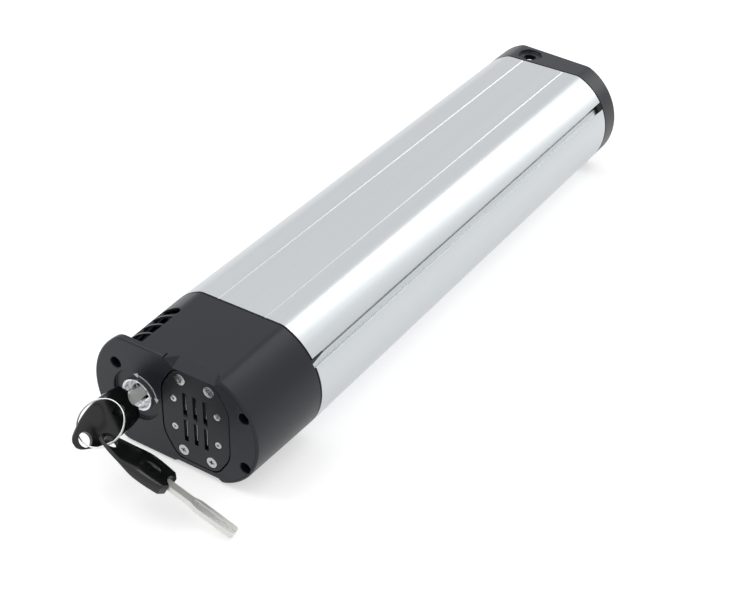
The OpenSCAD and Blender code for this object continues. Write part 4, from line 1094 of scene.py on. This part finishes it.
def key_2_place():
    """Place of the second key: hung on the ring, with its tip down to the surface below."""
    ring_point = Vector((RING_R + RING_R * math.cos(RING_PLACE), RING_R * math.sin(RING_PLACE), 0))
    hang = AT_KEY_1 @ (RING_AT + RING_TURN @ ring_point)
    reach = HOLE_S + HANG_OFF.x - HEAD_S + BLADE_L
    half = BLADE_W / 2 - BLADE_CUT + abs(HANG_OFF.y)
    drop = half * math.sin(abs(KEY_2_ROLL)) + BLADE_T / 2 * math.cos(KEY_2_ROLL)
    pitch = -math.asin((hang.z - FLOOR_GAP - drop) / reach)
    turn = Euler((KEY_2_ROLL, pitch, KEY_2_YAW)).to_matrix().to_4x4()
    return Matrix.Translation(hang) @ turn @ Matrix.Translation(Vector((-HOLE_S, -HOLE_W, 0)) - HANG_OFF)


def make_keys():
    """Key in the lock and key on the ring."""
    for number, place in ((1, AT_KEY_1), (2, key_2_place())):
        body = f"key_{number}"
        piece(f"key_{number}_blade_milled", key_blade(), KEY_STEEL_WITH_PAINTED_REFLECTION, [f"key_{number}_blade"], place, body)
        piece(f"key_{number}_head_moulded", key_head(), KEY_PLASTIC, [f"key_{number}_head"], place, body,
            angle=38)


def make_split_ring():
    """Two turns of wire side by side, which step over each other once."""
    wire = WIRE_R / 2
    curve = bpy.data.curves.new("split_ring_coiled", "CURVE")
    curve.dimensions = "3D"
    curve.bevel_depth = wire * WIRE_SHARE
    curve.bevel_resolution = 5
    curve.use_fill_caps = True
    spline = curve.splines.new("POLY")
    spline.points.add(WIRE_TURNS * WIRE_STEPS)
    for i, point in enumerate(spline.points):
        a = 2 * math.pi * i / WIRE_STEPS + WIRE_START
        share = min(1, max(0, (i / WIRE_STEPS - STEP_START) / STEP_SHARE))
        z = wire * (2 * share * share * (3 - 2 * share) - 1)
        point.co = (RING_R + RING_R * math.cos(a), RING_R * math.sin(a), z, 1)
    coil = bpy.data.objects.new("split_ring_coiled", curve)
    bpy.context.scene.collection.objects.link(coil)
    graph = bpy.context.evaluated_depsgraph_get()
    mesh = bpy.data.meshes.new_from_object(coil.evaluated_get(graph))
    bpy.data.curves.remove(curve)
    bm = bmesh.new()
    bm.from_mesh(mesh)
    bpy.data.meshes.remove(mesh)
    place = AT_KEY_1 @ Matrix.Translation(RING_AT) @ RING_TURN.to_4x4()
    piece("split_ring_coiled", bm, RING_STEEL, ["split_ring"], place, "split_ring", angle=60)


# Rear cap

def slanted_cap(inset, y0, length):
    """Outline of the case as a solid that ends at the slanted rear face."""
    solid = prism(case_points(inset), y0, 2 * CAP_L)
    normal = Vector((math.sin(CAP_SLANT), math.cos(CAP_SLANT), 0))
    geom = bmesh.ops.bisect_plane(solid, geom=solid.verts[:] + solid.edges[:] + solid.faces[:],
        plane_co=(0, length, 0), plane_no=normal, clear_outer=True)["geom_cut"]
    bmesh.ops.edgeloop_fill(solid, edges=[g for g in geom if isinstance(g, bmesh.types.BMEdge)])
    bmesh.ops.recalc_face_normals(solid, faces=solid.faces)
    return solid, normal


def make_rear_cap():
    """Moulded rear end with a slanted face, the locating hole and the pocket below it."""
    start = CAP_START - REAR
    cap, normal = slanted_cap(0, start, CAP_L)
    middle = Vector((0, CAP_L, 0))
    soften(cap, CAP_EDGE, 5, lambda e: all(abs((v.co - middle).dot(normal)) < 0.01 for v in e.verts))
    hole_z = BODY_H / 2 - REAR_DISH_D - REAR_PLATE_T
    room = slanted_cap(CAP_WALL, start - OVER, CAP_L - CAP_WALL)[0]
    walls = one_block(POCKET_W + 2 * POCKET_WALL, BODY_H, -OVER, 2 * CAP_L, -REAR_HOLE_X,
        hole_z - POCKET_H - POCKET_WALL + BODY_H / 2)
    cut(room, walls)
    cut(room, port_rods(REAR_POST_R, -OVER, 2 * CAP_L))
    cut(cap, room)
    pocket = one_block(POCKET_W, POCKET_H, POCKET_Y, 2 * CAP_L, -REAR_HOLE_X, hole_z - POCKET_H / 2)
    soften(pocket, POCKET_CORNER_R, 4, lambda e: abs(e.verts[0].co.y - e.verts[1].co.y) > CAP_L)
    cut(cap, pocket)
    # Locating hole in its round recess, both along Z
    upright = Matrix.Translation((-REAR_HOLE_X, REAR_HOLE_Y, 0)) @ Matrix.Rotation(math.radians(90), 4, "X")
    top = BODY_H / 2
    bottom = top - REAR_DISH_D
    dish = lathe([(0, top + OVER), (REAR_DISH_R + REAR_DISH_EDGE + OVER, top + OVER),
        (REAR_DISH_R, top - REAR_DISH_EDGE), (REAR_DISH_R, bottom + CHAMFER),
        (REAR_DISH_R - CHAMFER, bottom), (REAR_HOLE_R + CHAMFER, bottom),
        (REAR_HOLE_R, bottom - CHAMFER), (REAR_HOLE_R, hole_z - OVER), (0, hole_z - OVER)])
    bmesh.ops.transform(dish, matrix=upright, verts=dish.verts)
    cut(cap, dish)
    cut(cap, port_rods(SHANK_HOLE_R, -OVER, REAR_SEAT_Y + OVER))
    cut(cap, port_rods(DEEP_R, REAR_SEAT_Y, 2 * CAP_L))
    piece("rear_cap_moulded", cap, CASE_PLASTIC, ["rear_cap"], AT_REAR)


# Pieces of the frame that keep their shape and get their finish
FINISHES = {
    SEAL_RUBBER: ["front_seal", "rear_seal"],
    CARRIER_PLASTIC: ["contact_carrier"],
    NICKEL_SCREW: ["lock_screws", "driver_screws", "guide_screws", "bms_screws"],
    DRIVER_STEEL: ["lock_driver", "bolt_guide"],
    BOLT_BLACK: ["lock_bolt"],
    CELL_WRAP: ["cells_1", "cells_2", "cells_3", "cells_4"],
    HOLDER_PLASTIC: ["cell_holders"],
    NICKEL_STRIP: ["nickel_strips"],
    INSULATION: ["insulation_sheets"],
    BOARD_GREEN: ["bms_board"],
    CHIP_BLACK: ["bms_parts"],
    SINK_ALUMINIUM: ["heatsink"],
    TRAY_PLASTIC: ["bms_tray"],
    FUSE_BODY: ["fuse"],
    WIRE_RED: ["positive_leads", "pack_positive_lead"],
    WIRE_BLACK: ["negative_leads", "pack_negative_lead"],
    WIRE_WHITE: ["signal_leads", "balance_wires"],
    FOAM: ["front_foam", "rear_foam"],
}


def dress_frame():
    """Gives their finishes to the pieces that keep their shape."""
    for material, names in FINISHES.items():
        for name in names:
            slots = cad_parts[name].data.materials
            slots.clear()
            slots.append(material)


# Studio

CAMERA_AZIMUTH, CAMERA_ELEVATION, CAMERA_ROLL = (math.radians(a) for a in (31.33, 35.42, 1.80))
CAMERA_PLACE = Vector((339.6, -592.2, 458.9)) * MM
CAMERA_LENS, SENSOR_W = 70.69, 36
# Strength of the room's light on the object, and of the floor's glow towards the background's rays
ROOM_LIGHT, FLOOR_GLOW = 0.62, 0.5
FLOOR_REACH = 6


def make_camera():
    """Camera at the photograph's place, turn and lens."""
    data = bpy.data.cameras.new("camera")
    data.lens = CAMERA_LENS
    data.sensor_width = SENSOR_W
    camera = bpy.data.objects.new("camera", data)
    bpy.context.scene.collection.objects.link(camera)
    tilt = Matrix.Rotation(math.pi / 2 - CAMERA_ELEVATION, 4, "X")
    turn = Matrix.Rotation(CAMERA_AZIMUTH, 4, "Z") @ tilt @ Matrix.Rotation(CAMERA_ROLL, 4, "Z")
    camera.matrix_world = Matrix.Translation(CAMERA_PLACE) @ turn
    bpy.context.scene.camera = camera


def seen_rays(tree):
    """1 for rays that show the background: straight from the camera, in a gloss or through glass."""
    path = add(tree, "ShaderNodeLightPath", {})
    some = add(tree, "ShaderNodeMath", {"operation": "MAXIMUM"},
        {0: path.outputs["Is Camera Ray"], 1: path.outputs["Is Glossy Ray"]})
    every = add(tree, "ShaderNodeMath", {"operation": "MAXIMUM"},
        {0: some.outputs[0], 1: path.outputs["Is Transmission Ray"]})
    return every.outputs[0]


def make_world():
    """Even room light, and plain white for the background's rays."""
    world = bpy.data.worlds.new("studio")
    bpy.context.scene.world = world
    bpy.context.scene.view_settings.view_transform = "Standard"
    world.use_nodes = True
    tree = world.node_tree
    strength = add(tree, "ShaderNodeMapRange", {"To Min": ROOM_LIGHT, "To Max": 1},
        {"Value": seen_rays(tree)})
    tree.links.new(strength.outputs["Result"], tree.nodes["Background"].inputs["Strength"])
    tree.nodes["Background"].inputs["Color"].default_value = colour("#ffffff")


def make_floor():
    """Pale floor that keeps the shadow and shows near white."""
    bm = bmesh.new()
    bmesh.ops.create_grid(bm, x_segments=1, y_segments=1, size=FLOOR_REACH)
    mesh = new_mesh(bm, "floor")
    floor = bpy.data.objects.new("floor", mesh)
    bpy.context.scene.collection.objects.link(floor)
    material, tree, shader, _ = start_material("studio_floor",
        {"Base Color": colour("#e6e6e6"), "Roughness": 0.9, "Specular IOR Level": 0.1,
        "Emission Color": colour("#ffffff")})
    glow = add(tree, "ShaderNodeMapRange", {"To Min": 0, "To Max": FLOOR_GLOW}, {"Value": seen_rays(tree)})
    tree.links.new(glow.outputs["Result"], shader.inputs["Emission Strength"])
    mesh.materials.append(material)


def add_softbox(name, direction, distance, width, height, power):
    """Upright lamp in a direction from the middle of the battery, turned towards it."""
    data = bpy.data.lights.new(name, "AREA")
    data.shape = "RECTANGLE"
    data.size = width
    data.size_y = height
    data.energy = power
    lamp = bpy.data.objects.new(name, data)
    bpy.context.scene.collection.objects.link(lamp)
    way = Vector(direction).normalized()
    lamp.location = way * distance
    lamp.rotation_euler = way.to_track_quat("Z", "Y").to_euler()


make_tube()
make_front_shell()
make_front_plate()
make_connector()
make_contacts()
make_screws()
make_lock_body()
make_lock_plug()
make_turn_mark()
make_keys()
make_split_ring()
make_rear_cap()
dress_frame()
make_camera()
make_world()
make_floor()
add_softbox("side_box", (0.29, 0.7, 0.65), distance=1.3, width=0.34, height=1.3, power=3.6)
add_softbox("top_box", (-0.5, -0.3, 0.9), distance=1.5, width=1.0, height=1.0, power=6)
